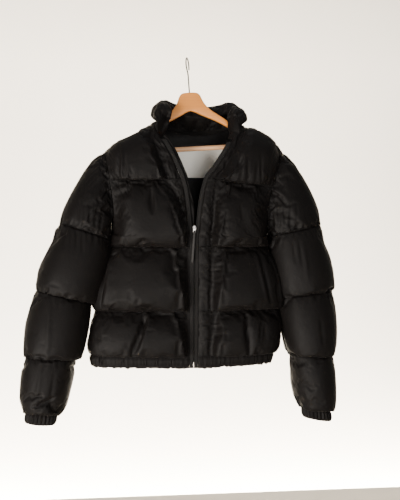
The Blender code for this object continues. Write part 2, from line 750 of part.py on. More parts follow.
def sleeve_panel(side, loop):
    """Inner and outer points of a sleeve, from the armhole to the cuff."""
    sign = -1 if side == "right" else 1
    turn = loop_turn(loop)
    first = sleeve_ring(side, 1.0, turn)
    down = unit(sleeve_ring(side, 1.02, turn) - first)
    reach = np.linalg.norm(first - loop, axis=1, keepdims=True)
    leave = unit(np.array((sign, 0, 0)) + CAP_DROP * unit(first - loop))
    shares = 1 - np.array(CHANNEL_ROWS)[::-1]
    steps = np.concatenate([[0], shares])
    grids, channel = [], []
    for k in range(len(SLEEVE_RINGS[side])):
        for s in steps[(0 if k == 0 else 1):]:
            if k == 0:
                h00 = (1 + 2 * s) * (1 - s) ** 2
                h10 = s * (1 - s) ** 2
                h01 = s * s * (3 - 2 * s)
                h11 = s * s * (s - 1)
                pull = reach * CAP_PULL
                grids.append(h00 * loop + h10 * leave * pull + h01 * first + h11 * down * reach)
            else:
                grids.append(sleeve_ring(side, k + s, turn))
            channel.append((k, s))
    base = np.array(grids)
    number = np.array([k for k, _ in channel])
    t = 1 - np.array([s for _, s in channel])[:, None]
    along = np.roll(base, -1, 1) - np.roll(base, 1, 1)
    up = np.gradient(base, axis=0) * -1
    normal = unit(np.cross(along, up)) * -sign
    centre = base.mean(1, keepdims=True)
    if np.sum(normal * (base - centre)) < 0:
        normal = -normal
    radial = np.cross(np.roll(loop, -1, 0) - np.roll(loop, 1, 0), (sign, 0, 0))
    radial[:, 0] = 0
    radial = unit(radial)
    if np.sum(radial * (loop - loop.mean(0))) < 0:
        radial = -radial
    start = 1 - ramp(0, 45, lengths(base, 0))[..., None]
    direction = unit(normal * (1 - start) + radial * start)
    direction[-1] = unit(base[-1] - centre[-1])
    side_share = SLEEVE_SIDE_SHARE + (1 - SLEEVE_SIDE_SHARE) * np.abs(np.sin(turn)) ** 1.2
    inner_side = np.clip(np.cos(turn), 0, 1)
    side_share = side_share * (1 - 0.35 * inner_side)
    room = np.where(number == 0, 1, 0)[:, None] * np.clip(1 - reach[:, 0] / 120, 0, 1)
    full = side_share * (1 - room)
    round_length = np.cumsum(np.linalg.norm(np.roll(base, -1, 1) - base, axis=-1), 1)
    wave = gathers(round_length, t, 5.0 + sign) * np.abs(np.sin(turn)) * full
    bulge = np.where(number == 0, CAP_FILL, 1)[:, None] * crest(t) * SLEEVE_PUFF
    thick = SEAM_WALL + np.maximum(bulge * full + wave, 0)
    outer = base + direction * thick[..., None]
    seam_row = np.array([np.nonzero((number == k))[0][-1] for k in number])
    above = np.maximum(base[..., 2] - base[seam_row][..., 2], 0)
    outer = hung_over(outer, t, full * (number < 3)[:, None], above)
    return base, outer


def build_cuff(side):
    """Elastic cuff, fluted all round, just below the sleeve."""
    place = len(SLEEVE_RINGS[side])
    turn = np.linspace(0, 2 * math.pi, CUFF_FLUTES * 3, endpoint=False)
    top = sleeve_ring(side, place, turn)
    down = unit((sleeve_ring(side, place, turn) - sleeve_ring(side, place - 0.05, turn)).mean(0))
    square = unit(np.cross(top[len(top) // 4] - top.mean(0), top[0] - top.mean(0)))
    square = square * -np.sign(square[2])
    centre = top.mean(0)
    out = unit(top - centre)
    flute = np.where(np.arange(len(turn)) % 3 == 0, -1.4, 0.9)
    inner, outer = [], []
    for share, narrow, thick in CUFF_ROWS:
        drop = square * SEAM_GAP + down * CUFF_LENGTH * share
        inner.append(top + drop - out * narrow)
        waves = flute * math.sin(math.pi * min(max(share, 0.12), 0.88))
        outer.append(top + drop + out * (thick - narrow + waves)[:, None])
    wall("cuff_" + side, np.array(inner), np.array(outer), "shell", closed=True)


# --- collar -----------------------------------------------------------------------------
def neckline(fronts, back, layer):
    """Points of the neckline, from the right front's end round the back to the left.

    layer is 0 for the inner cloth and 1 for the outer cloth."""
    rows = body_rows()
    used = np.nonzero(rows >= SHOULDER_ROW - 1 + COLLAR_END - 1e-6)[0][:-1]
    right, left = fronts["right"][layer], fronts["left"][layer]
    last = SHOULDER_COLUMNS + NECK_COLUMNS
    path = [right[r, -1] for r in used]
    path += [back[layer][-1, c] for c in range(last, SHOULDER_COLUMNS - 1, -1)]
    path += [left[r, 0] for r in used[::-1]]
    return np.array(path)


def build_collar(path, cloth):
    """Padded stand collar: one closed section swept along the neckline.

    path is the neckline of the body's inner cloth and cloth that of its outer cloth."""
    tangent = np.gradient(path, axis=0)
    tangent[..., 2] = 0
    tangent = unit(tangent)
    out = np.stack([-tangent[:, 1], tangent[:, 0], np.zeros(len(path))], -1)
    if np.sum(out * (path - path.mean(0))) < 0:
        out = -out
    lean = SEAM_GAP + np.maximum(-np.sum((cloth - path) * out, axis=1), 0)
    reach = np.concatenate([[0], np.cumsum(np.linalg.norm(np.diff(path, axis=0), axis=1))])
    share = reach / reach[-1]
    ends = np.minimum(share, 1 - share)
    tall = COLLAR_HEIGHT[0] + (COLLAR_HEIGHT[1] - COLLAR_HEIGHT[0]) * ramp(0.1, 0.42, ends)
    slim = 0.90 + 0.10 * ramp(0, 0.08, ends)
    wave = 1.3 * np.sin(reach / 11.0) + 0.9 * np.sin(reach / 6.1 + 1)
    lean_out = (COLLAR_LEAN[0] * (1 - ramp(0.10, 0.22, 1 - share))
                + COLLAR_LEAN[1] * (1 - ramp(0.0, 0.05, 1 - share)))
    sections = []
    for k, place in enumerate(path):
        section_points = []
        near_end = 1 - ramp(0.04, 0.16, ends[k])
        for (r, h), (end_r, end_h) in zip(COLLAR_SECTION, COLLAR_END_SECTION):
            r, h = r + (end_r - r) * near_end, h + (end_h - h) * near_end
            middle = -12.0
            side = middle + (r - middle) * slim[k] + (wave[k] if 12 < h < 50 else 0)
            lift = h / COLLAR_SECTION_TOP * tall[k]
            aside = lean_out[k] * ramp(9, 32, h)
            section_points.append(place + out[k] * (side - lean[k]) + np.array((aside, 0, lift)))
        sections.append(section_points)
    grid = np.array(sections)
    rows, columns = grid.shape[:2]
    faces = []
    for r in range(rows - 1):
        for c in range(columns):
            d = (c + 1) % columns
            faces.append([r * columns + c, r * columns + d,
                          (r + 1) * columns + d, (r + 1) * columns + c])
    faces.append(list(range(columns)))
    faces.append([(rows - 1) * columns + c for c in range(columns)][::-1])
    add_piece("collar", grid.reshape(-1, 3), faces, "shell")


# --- bands and strips -------------------------------------------------------------------
def hem_band(name, base_of, columns, seed, cut=None):
    """Gathered band below the body's lowest seam, made from the same sections."""
    rows = -np.array([share for share, _ in HEM_ROWS]) * HEM_LENGTH / HEM_ROW
    u, v = np.meshgrid(np.linspace(0, 1, columns + 1), rows)
    base = base_of(u, v)
    normal = steepness(base_of, u, v)
    along = lengths(base, 1)
    thick = np.array([wide for _, wide in HEM_ROWS])[:, None]
    soft = np.sin(along / 4.4 + seed + np.sin(along / 31 + seed))
    swell = np.sin(np.linspace(0, math.pi, len(HEM_ROWS)))[:, None]
    outer = base + normal * (thick + HEM_WAVE * soft * swell)[..., None]
    half_gap = SEAM_GAP / 2
    for grid in (base, outer):
        grid[0, :, 2] -= half_gap
        for end, sign in ((0, cut[0]), (-1, cut[1])):
            grid[:, end, 1] += sign * half_gap
    wall(name, base[::-1], outer[::-1], "shell")


def strip(name, path, half_width, half_thick, finish):
    """Flat strip along a path, its width along X."""
    path = np.asarray(path, float)
    tangent = unit(np.gradient(path, axis=0))
    across = np.array((1.0, 0, 0)) * np.ones_like(path)
    face = unit(np.cross(across, tangent))
    wide = np.asarray(half_width, float).reshape(-1, 1) * across
    thick = face * half_thick
    outer = np.stack([path - wide - thick, path + wide - thick], 1)
    inner = np.stack([path - wide + thick, path + wide + thick], 1)
    wall(name, inner, outer, finish)


def edge_path(side, rows):
    """Points of a front's inner edge, at rows of the body."""
    base_of = front_base(side)
    return base_of(np.full(len(rows), 1.0 if side == "right" else 0.0), rows)


def build_zip():
    """Two tapes, closed below the slider and spread along the open front."""
    below = -HEM_LENGTH / HEM_ROW * np.array([share for share, _ in HEM_ROWS[:0:-1]])
    body = body_rows()
    rows = np.concatenate([below, body[body <= SHOULDER_ROW - 1 + COLLAR_END - 0.05]])
    for side, sign in (("right", 1), ("left", -1)):
        edge = edge_path(side, rows)
        slant = np.gradient(edge[:, 0]) / np.maximum(np.abs(np.gradient(edge[:, 2])), 1e-6)
        wide = TAPE_WIDTH * np.sqrt(1 + np.minimum(slant ** 2, 1.4))
        closed = edge[:, 2] < ZIP_SPREAD - 14
        wide = np.where(closed, TAPE_WIDTH, wide)
        path = edge + np.stack([sign * (wide / 2 + SEAM_GAP), -TAPE_FORWARD * np.ones(len(wide)),
                                0 * wide], -1)
        strip("zip_tape_" + side, path, wide / 2, TAPE_WALL / 2, "tape")


def build_guard():
    """Soft flap behind the open zip, where it shows beside the right front's teeth."""
    base_of = front_base("right")
    rows = np.concatenate([np.linspace(2.32, 3, 14), 3 + np.linspace(0.08, COLLAR_END - 0.02, 6)])
    edge = base_of(np.ones(len(rows)), rows)
    z = edge[:, 2]
    slant = np.gradient(edge[:, 0]) / np.maximum(np.abs(np.gradient(z)), 1e-6)
    tape = TAPE_WIDTH * np.sqrt(1 + np.minimum(slant ** 2, 1.4))
    start = edge[:, 0] + tape + 3 * SEAM_GAP
    end = follow(column(GUARD_EDGE, 0), column(GUARD_EDGE, 1), z)
    end = np.maximum(end, start + 3)
    path = np.stack([(start + end) / 2, edge[:, 1] + 1.0, z], -1)
    strip("zip_guard", path, (end - start) / 2, 1.4, "shell")


def block(low, high):
    """Corner points and faces of a box."""
    corners = [(x, y, z) for x in (low[0], high[0]) for y in (low[1], high[1])
               for z in (low[2], high[2])]
    faces = [(0, 1, 3, 2), (4, 6, 7, 5), (0, 4, 5, 1), (2, 3, 7, 6), (0, 2, 6, 4), (1, 5, 7, 3)]
    return np.array(corners), [list(face) for face in faces]


def zip_face(z):
    """Y of the front of the closed tapes, at a height."""
    edge = front_lower("left", np.array(0.0), np.array(float(row_at(z))))
    return float(edge[1]) - TAPE_FORWARD - TAPE_WALL / 2


def row_at(z):
    """Row of the body whose height at the zip is z, below the yoke."""
    heights = [SEAM_HEIGHTS[name][0] for name in BODY_SEAMS]
    return np.interp(z, heights, np.arange(len(heights)))


def build_slider():
    """Slider at the top of the closed zip, with two lugs that hold the pull's hinge."""
    x, width, height, depth = SLIDER
    behind = zip_face(SLIDER_HEIGHT) - SEAM_GAP
    before = behind - depth
    waist, shoulder = 0.72 * width / 2, 0.5 * height
    outline = [(-0.8 * waist, shoulder), (0.8 * waist, shoulder), (width / 2, 0.25 * height),
               (waist, -shoulder), (-waist, -shoulder), (-width / 2, 0.25 * height)]
    count = len(outline)
    layers = ((behind, 0.92), (before + 0.8, 1.0), (before, 0.82))
    vertices = [(x + out * grow, y, SLIDER_HEIGHT + up * grow)
                for y, grow in layers for out, up in outline]
    faces = [list(range(count)), [2 * count + k for k in range(count)][::-1]]
    for layer in (0, 1):
        for k in range(count):
            a, b = layer * count + k, layer * count + (k + 1) % count
            faces.append([a, b, b + count, a + count])
    slider = add_piece("zip_slider", vertices, faces, "steel")
    lug_width, lug_height, lug_reach = LUG
    hinge = np.array((x, before - PULL_HEAD[1] - 0.4, SLIDER_HEIGHT + 1.5))
    for sign in (-1, 1):
        inner_side = x + sign * (PULL_HEAD[0] / 2 + SEAM_GAP)
        outer_side = inner_side + sign * lug_width
        corners, box = block((min(inner_side, outer_side), before - lug_reach,
                              hinge[2] - lug_height / 2),
                             (max(inner_side, outer_side), before + 0.6,
                              hinge[2] + lug_height / 2))
        lug = add_piece("lug", corners, box, "steel")
        lug.hide_render = True
        lug.display_type = "WIRE"
        joined = slider.modifiers.new("lug", "BOOLEAN")
        joined.operation = "UNION"
        joined.object = lug
    return hinge


def build_pull(hinge):
    """Pull that swings about X in the slider's lugs: a round head and a long flat tongue."""
    width, radius = PULL_HEAD
    thick = PULL_WALL / 2
    # Sections down the pull: how far below the hinge, half width and half thickness.
    sections = [(-radius, width / 2, 0.35)]
    sections += [(-0.6 * radius, width / 2, 0.85), (0.0, width / 2, radius),
                 (2.6, width / 2, thick), (3.4, width / 2, thick),
                 (5.0, PULL_WIDTH / 2, thick), (9.0, PULL_WIDTH / 2, thick),
                 (PULL_LENGTH - 3, PULL_WIDTH / 2, thick),
                 (PULL_LENGTH - 0.8, PULL_WIDTH / 2 * 0.8, thick * 0.9),
                 (PULL_LENGTH, PULL_WIDTH / 2 * 0.5, thick * 0.6)]
    ring = ((-1, -0.5), (-0.8, -1), (0.8, -1), (1, -0.5), (1, 0.5), (0.8, 1), (-0.8, 1),
            (-1, 0.5))
    vertices = [hinge + (wide * a - PULL_SLANT * max(down - 4, 0), deep * b, -down)
                for down, wide, deep in sections for a, b in ring]
    count = len(ring)
    faces = [list(range(count))[::-1],
             [(len(sections) - 1) * count + k for k in range(count)]]
    for layer in range(len(sections) - 1):
        for k in range(count):
            a, b = layer * count + k, layer * count + (k + 1) % count
            faces.append([a, b, b + count, a + count])
    add_piece("zip_pull", vertices, faces, "pull", origin=hinge)


def on_back(x, z):
    """Points of the back's inner cloth straight behind the given X and height."""
    u = np.full(np.shape(x), 0.5)
    row = np.full(np.shape(x), 3.4)
    step = 1e-3
    for _ in range(12):
        here = back_base(u, row)
        by_u = (back_base(u + step, row) - here) / step
        by_row = (back_base(u, row + step) - here) / step
        miss_x, miss_z = x - here[..., 0], z - here[..., 2]
        size = by_u[..., 0] * by_row[..., 2] - by_row[..., 0] * by_u[..., 2]
        u = u + (miss_x * by_row[..., 2] - miss_z * by_row[..., 0]) / size
        row = row + (miss_z * by_u[..., 0] - miss_x * by_u[..., 2]) / size
    return back_base(u, row)


def build_label():
    """Bare woven label inside the back of the neck."""
    wide, tall = LABEL_SIZE
    x, z = np.meshgrid(np.linspace(LABEL_MIDDLE - wide / 2, LABEL_MIDDLE + wide / 2, 9),
                       np.linspace(LABEL_TOP - tall, LABEL_TOP, 5))
    cloth = on_back(x, z)
    back = cloth - np.array((0, LABEL_OFF, 0))
    wall("neck_label", back, back - np.array((0, LABEL_WALL, 0)), "label")


def build_welt(side, outer):
    """Pocket welt, made from the front's own points and moved out."""
    rows = body_rows()
    used = np.nonzero((rows >= WELT_ROWS[0] - 1e-6) & (rows <= WELT_ROWS[1] + 1e-6))[0]
    columns = list(WELT_COLUMNS) if side == "right" else [-1 - c for c in WELT_COLUMNS][::-1]
    along = np.gradient(outer, axis=1)
    up = np.gradient(outer, axis=0)
    normal = unit(np.cross(along, up))
    pick = np.ix_(used, columns)
    seat = outer[pick] + normal[pick] * SEAM_GAP * 1.5
    wall("pocket_welt_" + side, seat, seat + normal[pick] * WELT_WALL, "shell")


# --- hanger -----------------------------------------------------------------------------
def hang(out, forward, down):
    """Point of the hanger, tilted about the hook's rest on the rail."""
    tilt = math.radians(HANGER_TILT)
    return (out * math.cos(tilt) + down * math.sin(tilt), forward,
            out * math.sin(tilt) - down * math.cos(tilt))


def build_yoke():
    """Flat wooden hanger with rounded edges."""
    half = list(HANGER_TOP[1:]) + list(HANGER_UNDER)
    outline = [HANGER_TOP[0]] + half + [(0, HANGER_APEX)] + [(-o, d) for o, d in half[::-1]]
    count = len(outline)
    side = HANGER_THICKNESS / 2
    vertices = [hang(out, y, HANGER_DOWN + down) for y in (-side, side) for out, down in outline]
    faces = [list(range(count)), [count + k for k in range(count)][::-1]]
    faces += [[k, (k + 1) % count, count + (k + 1) % count, count + k] for k in range(count)]
    yoke = add_piece("hanger_yoke", vertices, faces, "wood")
    rounded = yoke.modifiers.new("rounded edges", "BEVEL")
    rounded.width = HANGER_ROUND * MM
    rounded.segments = 2
    rounded.limit_method = "ANGLE"
    rounded.angle_limit = math.radians(60)


def build_bar():
    """Round trouser bar between the two arms, its ends cut to the arms' undersides."""
    under = sorted((d, o) for o, d in HANGER_UNDER if o >= 90)
    depths, outs = zip(*[(d, o) for d, o in under if o < 160])
    turn = np.linspace(0, 2 * math.pi, BAR_SIDES, endpoint=False)
    vertices = []
    for sign in (-1, 1):
        for angle in turn:
            down = BAR_DOWN - BAR_RADIUS * math.sin(angle)
            out = float(np.interp(down, depths, outs)) - 0.6
            vertices.append(hang(sign * out, BAR_RADIUS * math.cos(angle), HANGER_DOWN + down))
    faces = [list(range(BAR_SIDES)), [BAR_SIDES + k for k in range(BAR_SIDES)][::-1]]
    faces += [[k, (k + 1) % BAR_SIDES, BAR_SIDES + (k + 1) % BAR_SIDES, BAR_SIDES + k]
              for k in range(BAR_SIDES)]
    add_piece("hanger_bar", vertices, faces, "wood")


def hook_path():
    """Centre of the wire, from the wood up, round over the rail and down behind it."""
    radius = HOOK_INSIDE + HOOK_WIRE
    middle = -HOOK_INSIDE
    turn = math.radians(HOOK_TURN)
    path = []
    foot = HANGER_DOWN - SEAM_GAP
    bend = 2.6 * HOOK_INSIDE
    for down in np.linspace(foot, bend, 5):
        path.append((0.0, down))
    for s in np.linspace(0, 1, 9)[1:]:
        ease = s * s * (3 - 2 * s)
        path.append((radius * ease, bend + (-middle - bend) * s))
    for angle in np.radians(np.arange(12, 216, 12)):
        path.append((radius * math.cos(angle), -middle - radius * math.sin(angle)))
    return [hang(-forward * math.sin(turn), -forward * math.cos(turn), down)
            for forward, down in path]


def build_hook():
    path = np.array(hook_path())
    tangent = unit(np.gradient(path, axis=0))
    turn = math.radians(HOOK_TURN)
    side = np.array((math.cos(turn), -math.sin(turn), 0.0))
    vertices, faces = [], []
    for place, along in zip(path, tangent):
        across = unit(side - along * (side @ along))
        other = np.cross(along, across)
        for angle in np.linspace(0, 2 * math.pi, HOOK_SIDES, endpoint=False):
            vertices.append(place + HOOK_WIRE * (across * math.cos(angle)
                                                 + other * math.sin(angle)))
    count = HOOK_SIDES
    for k in range(len(path) - 1):
        for c in range(count):
            a, b = k * count + c, k * count + (c + 1) % count
            faces.append([a, b, b + count, a + count])
    faces.append(list(range(count))[::-1])
    faces.append([(len(path) - 1) * count + c for c in range(count)])
    add_piece("hanger_hook", vertices, faces, "steel")


def main():
    for thing in list(bpy.data.objects):
        bpy.data.objects.remove(thing, do_unlink=True)
    fronts = {side: front_panel(side) for side in ("right", "left")}
    back = back_panel()
    for side in ("right", "left"):
        wall("front_" + side, *fronts[side], "shell", keep=LINING_KEEP)
        build_welt(side, fronts[side][1])
    under_label = ((np.abs(back[0][..., 0] - LABEL_MIDDLE) < LABEL_SIZE[0] / 2 + 14)
                   & (back[0][..., 2] > LABEL_TOP - LABEL_SIZE[1] - 14))
    wall("back", *back, "shell", keep=LINING_KEEP, fixed=under_label)
    for side in ("right", "left"):
        sleeve = sleeve_panel(side, armhole_loop(side, fronts, back))
        wall("sleeve_" + side, *sleeve, "shell", closed=True, keep=LINING_KEEP)
        build_cuff(side)
    build_collar(neckline(fronts, back, 0), neckline(fronts, back, 1))
    hem_band("hem_right", front_base("right"), FRONT_COLUMNS, 0.4, cut=(-1, 0))
    hem_band("hem_left", front_base("left"), FRONT_COLUMNS, 1.9, cut=(0, -1))
    hem_band("hem_back", back_base, 2 * SHOULDER_COLUMNS + NECK_COLUMNS, 2.7, cut=(1, 1))
    build_zip()
    build_guard()
    build_pull(build_slider())
    build_label()
    build_yoke()
    build_bar()
    build_hook()


main()
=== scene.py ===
"""Looks of a padded jacket that hangs filled out on a wooden hanger.

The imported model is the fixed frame.  Every cloth piece is made again here with a fine mesh:
the same plain inner cloth as the solids, and an outer cloth that a short cloth simulation
wrinkles between its seams.  The front faces -Y, +X is the wearer's left and +Z is up.  The
tables are in millimetres, and a mesh's points are scaled to metres when it is made.
"""
import math

import bmesh
import bpy
import numpy as np
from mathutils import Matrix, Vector


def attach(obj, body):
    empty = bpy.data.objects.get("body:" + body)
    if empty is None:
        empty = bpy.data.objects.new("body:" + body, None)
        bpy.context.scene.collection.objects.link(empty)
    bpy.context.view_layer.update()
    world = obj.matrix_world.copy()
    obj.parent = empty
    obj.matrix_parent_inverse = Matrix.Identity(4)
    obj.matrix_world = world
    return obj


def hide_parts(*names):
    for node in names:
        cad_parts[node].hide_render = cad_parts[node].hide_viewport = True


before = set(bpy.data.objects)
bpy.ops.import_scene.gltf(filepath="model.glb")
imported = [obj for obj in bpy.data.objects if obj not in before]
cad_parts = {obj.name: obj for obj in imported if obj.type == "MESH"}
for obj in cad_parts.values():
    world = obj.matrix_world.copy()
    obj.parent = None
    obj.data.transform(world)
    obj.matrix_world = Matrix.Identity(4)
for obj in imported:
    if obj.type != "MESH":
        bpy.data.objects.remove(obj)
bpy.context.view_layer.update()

MM = 0.001
SEAM_GAP = 0.3
JACKET = "jacket"
PULL = "zip_pull"
SIGN = {"right": -1, "left": 1}     # which way along X each of the wearer's sides lies
FORWARD = np.array((0.0, -1.0, 0.0))
ALONG_X = (0, math.pi / 2, 0)       # turns a primitive's axis to X

# --- body -------------------------------------------------------------------------------
# Height of each quilting seam, bottom to top, at the zip and at the two side seams.
SEAM_HEIGHTS = {
    # seam        zip    right   left
    "hem":      (-694, -689, -686),
    "waist":    (-590, -588, -584),
    "chest":    (-443, -441, -441),
    "yoke":     (-288, -291, -302),
}
BODY_SEAMS = ("hem", "waist", "chest", "yoke")
SHOULDER_ROW = 4        # the body's last row: the shoulder seam and the neckline

# Inner cloth of the body: where its two sides lie, and how far it reaches forward and back.
BODY_SECTIONS = (
    # height  right   left  front  back
    (-740,   -220,   190,   46,   48),
    (-694,   -220,   199,   51,   53),
    (-650,   -213,   203,   54,   56),
    (-590,   -211,   213,   57,   59),
    (-500,   -186,   199,   60,   62),
    (-443,   -180,   189,   60,   63),
    (-410,   -176,   184,   60,   64),
    (-370,   -174,   183,   60,   65),
    (-311,   -180,   192,   60,   66),
    (-264,   -188,   204,   60,   66),
    (-217,   -195,   214,   60,   66),
)
UNDERARM_ROW = 2.18     # the body's row at which the side seam ends in the armhole
ARMHOLE_DEPTH = 43      # half the armhole's width, front to back
# Shoulder seam of the inner cloth, from the neck to the tip: X and height.
SHOULDER_LINE = {
    "right": ((-74, -154.6), (-104, -175), (-135, -195), (-161, -207), (-182, -218), (-193, -229)),
    "left": ((127, -160), (150, -169), (178, -185), (200, -198), (212, -207), (218, -217)),
}
NECK_CENTRE = 27
NECK_BACK = 52          # how far the neckline reaches behind the shoulder seams
NECK_TOP = -141         # height at which the body would close over the neck
COLLAR_END = 0.5        # share of the yoke's roll at which the collar ends in front

SECTION_POWER = 2.5     # roundness of a body section, 2 is an ellipse
ROLL_POWER = 2.8        # roundness of the yoke's roll over the shoulder

# The front edge of each front: closed on the zip below the slider, spread in a V above.
FRONT_EDGE = {
    # height, X of the cloth's edge
    "right": ((-740, -1.5), (-480, -1.5), (-422, -1.5), (-392, -6), (-347, -10.6), (-312, -15.5),
              (-278, -25.5), (-244, -40), (-212, -56.5), (-182, -73), (-150, -74)),
    "left": ((-740, 19), (-480, 19), (-422, 19), (-392, 22.5), (-337, 29), (-287, 41),
             (-257, 61), (-212, 87), (-168, 109), (-150, 127)),
}

# --- sleeves ----------------------------------------------------------------------------
# Inner cloth of each sleeve at its seams: centre, half width across and front to back, and
# how many degrees the inner side hangs below the outer side.
SLEEVE_RINGS = {
    "right": (
        # x      y     z    half  half_y  droop
        (-236,  -10,  -408,  58,    50,    18),
        (-286,  -17,  -556,  58.5,  50,    14),
        (-316,  -25,  -694,  52,    46,     3),
        (-336,  -31,  -817,  30,    30,     5),
    ),
    "left": (
        (253,   -10,  -404,  61,    50,    12),
        (280.5, -17,  -553,  58.5,  50,     8),
        (293,   -25,  -697,  46,    45,    -3),
        (303,   -31,  -822,  30,    29,    -9),
    ),
}
CAP_DROP = 1.8          # how soon the sleeve turns down from the armhole
CAP_PULL = 0.5          # and how far it runs on before it does
CAP_FILL = 0.62         # how full its highest channel is
FOOT_GAP = 1.5          # more room between sleeve and body at the foot of the armhole
LEAN_ROUNDS = 34        # how far round the armhole the body wall's lean is passed on
LEAN_KEPT = 0.93        # and the share of it that each point passes to the next
CUFF_LENGTH = 25
CUFF_FLUTES = 24
CUFF_ROWS = (
    # share  drawn in  wall
    (0.00,    1,        4.0),
    (0.22,    2,        6.3),
    (0.80,    2,        6.3),
    (1.00,    1,        3.5),
)

# --- collar -----------------------------------------------------------------------------
COLLAR_HEIGHT = (50, 66)   # at its front ends, and behind
COLLAR_SECTION_TOP = 62
COLLAR_FOOT = 9            # height in the section up to which its cloth is held
COLLAR_CREST = 61.5        # and of the held line along its top
COLLAR_MIDDLE = -12.0      # middle of the section, about which it is slimmer at the ends
# Section of the collar as (out, up), and below it the section at its front ends.
COLLAR_SECTION = (
    (0, 0), (0, 9), (6, 13), (9.5, 22), (7.5, 35), (3, 47), (-3, 55), (-10, 60), (-17, 61.5),
    (-24, 59), (-30, 52), (-32, 45), (-32, 39), (-29, 33), (-20, 23.5), (-10, 12.5), (-3, 4.5),
)
COLLAR_LEAN = (8.0, 6.0)   # how far its left end leans out: as a whole, and more at the tip
COLLAR_END_SECTION = (
    (0, 0), (1, 8), (6, 11.5), (8, 20), (6, 34), (1, 46), (-4, 54), (-10, 60), (-18, 61.5),
    (-27, 59), (-33, 52), (-35, 45), (-34, 38), (-31, 30), (-26, 20), (-18, 10), (-8, 3),
)
CAP_RINGS = ((0.92, 1.6), (0.72, 3.2), (0.4, 4.2), (0.12, 4.6))    # an end's cap: share, reach
CAP_LENGTHS = (-2, -6, -12, -16)    # of cloth over the cap

# --- hem --------------------------------------------------------------------------------
HEM_LENGTH = 27
HEM_ROW = 110.0         # the body's rows run on below the lowest seam at this height each
HEM_STEP = 1.9          # between its columns
HEM_WAVE = 0.9          # height of a hem's gathers
HEM_ROWS = ((0.0, 5), (0.3, 7), (1.0, 5))   # share down, wall

# --- padding ----------------------------------------------------------------------------
SEAM_WALL = 4.0         # the padded wall where a seam pinches it
BODY_PUFF = 29.0        # the padding's height at a channel's crest
BACK_PUFF = 27.0
SLEEVE_PUFF = 17.0
SIDE_RISE = 46.0        # the padding is full this far from a side seam or an armhole
SIDEWAYS_REACH = (5, 60)    # its walls lean away from an armhole between these
QUIET = 30.0            # the sag fades out this near a border
FOOT_QUIET = (12.0, 56.0)   # the padding fades in between these from an armhole's foot
SIDE_SHARE = 0.3        # share of the padding left at a side seam
ARMHOLE_SHARE = 0.12    # and at an armhole
UNDERARM_REACH = (-30, 20)  # heights at the underarm between which one becomes the other
YOKE_LOSS = 0.28        # how much less the yoke's channel is filled
YOKE_ROWS = (3.0, 3.25)     # rows over which that begins
SHOULDER_LOSS = {"right": 0.55, "left": 0.3}    # and how much less again at the shoulder
SHOULDER_ROWS = (3.35, 3.8)
# Share of a sleeve's padding on its inner and its outer side, channel by channel.
SLEEVE_INSIDE = {"right": (0.9, 1.05, 0.7, 0.5), "left": (0.9, 0.4, 0.4, 0.4)}
SLEEVE_OUTSIDE = (0.4, 0.4, 0.4, 0.5)
PUFF_CREST = (0.34, 0.84)   # exponents: low and steep at the bottom, long above
DROOP = 7.0             # the crest of a channel sags over the seam below it
DROOP_SHARE = (0.08, 0.14)  # where up the channel it sags most, and over what share

SHOULDER_COLUMNS = 10   # base columns of the back under each shoulder
NECK_COLUMNS = 16       # and between them under the neck

# Creases pressed into the channels, between two points of the front's face.
PRESSED = {
    # x0    z0     x1    z1   width  depth
    "front_right": (
        (-105, -604, -113, -640, 8, 9), (-113, -640, -128, -676, 9, 7),
        (-108, -618, -80, -612, 6, 4), (-200, -630, -190, -665, 7, 4),
        (-92, -318, -88, -372, 8, 5), (-165, -330, -160, -395, 8, 4),
        (-140, -470, -150, -560, 12, 3),
    ),
    "front_left": (
        (128, -606, 130, -672, 8, 6), (58, -600, 62, -668, 8, 4),
        (168, -612, 160, -664, 7, 4), (110, -330, 116, -400, 9, 4),
        (46, -320, 50, -420, 8, 3),
    ),
}
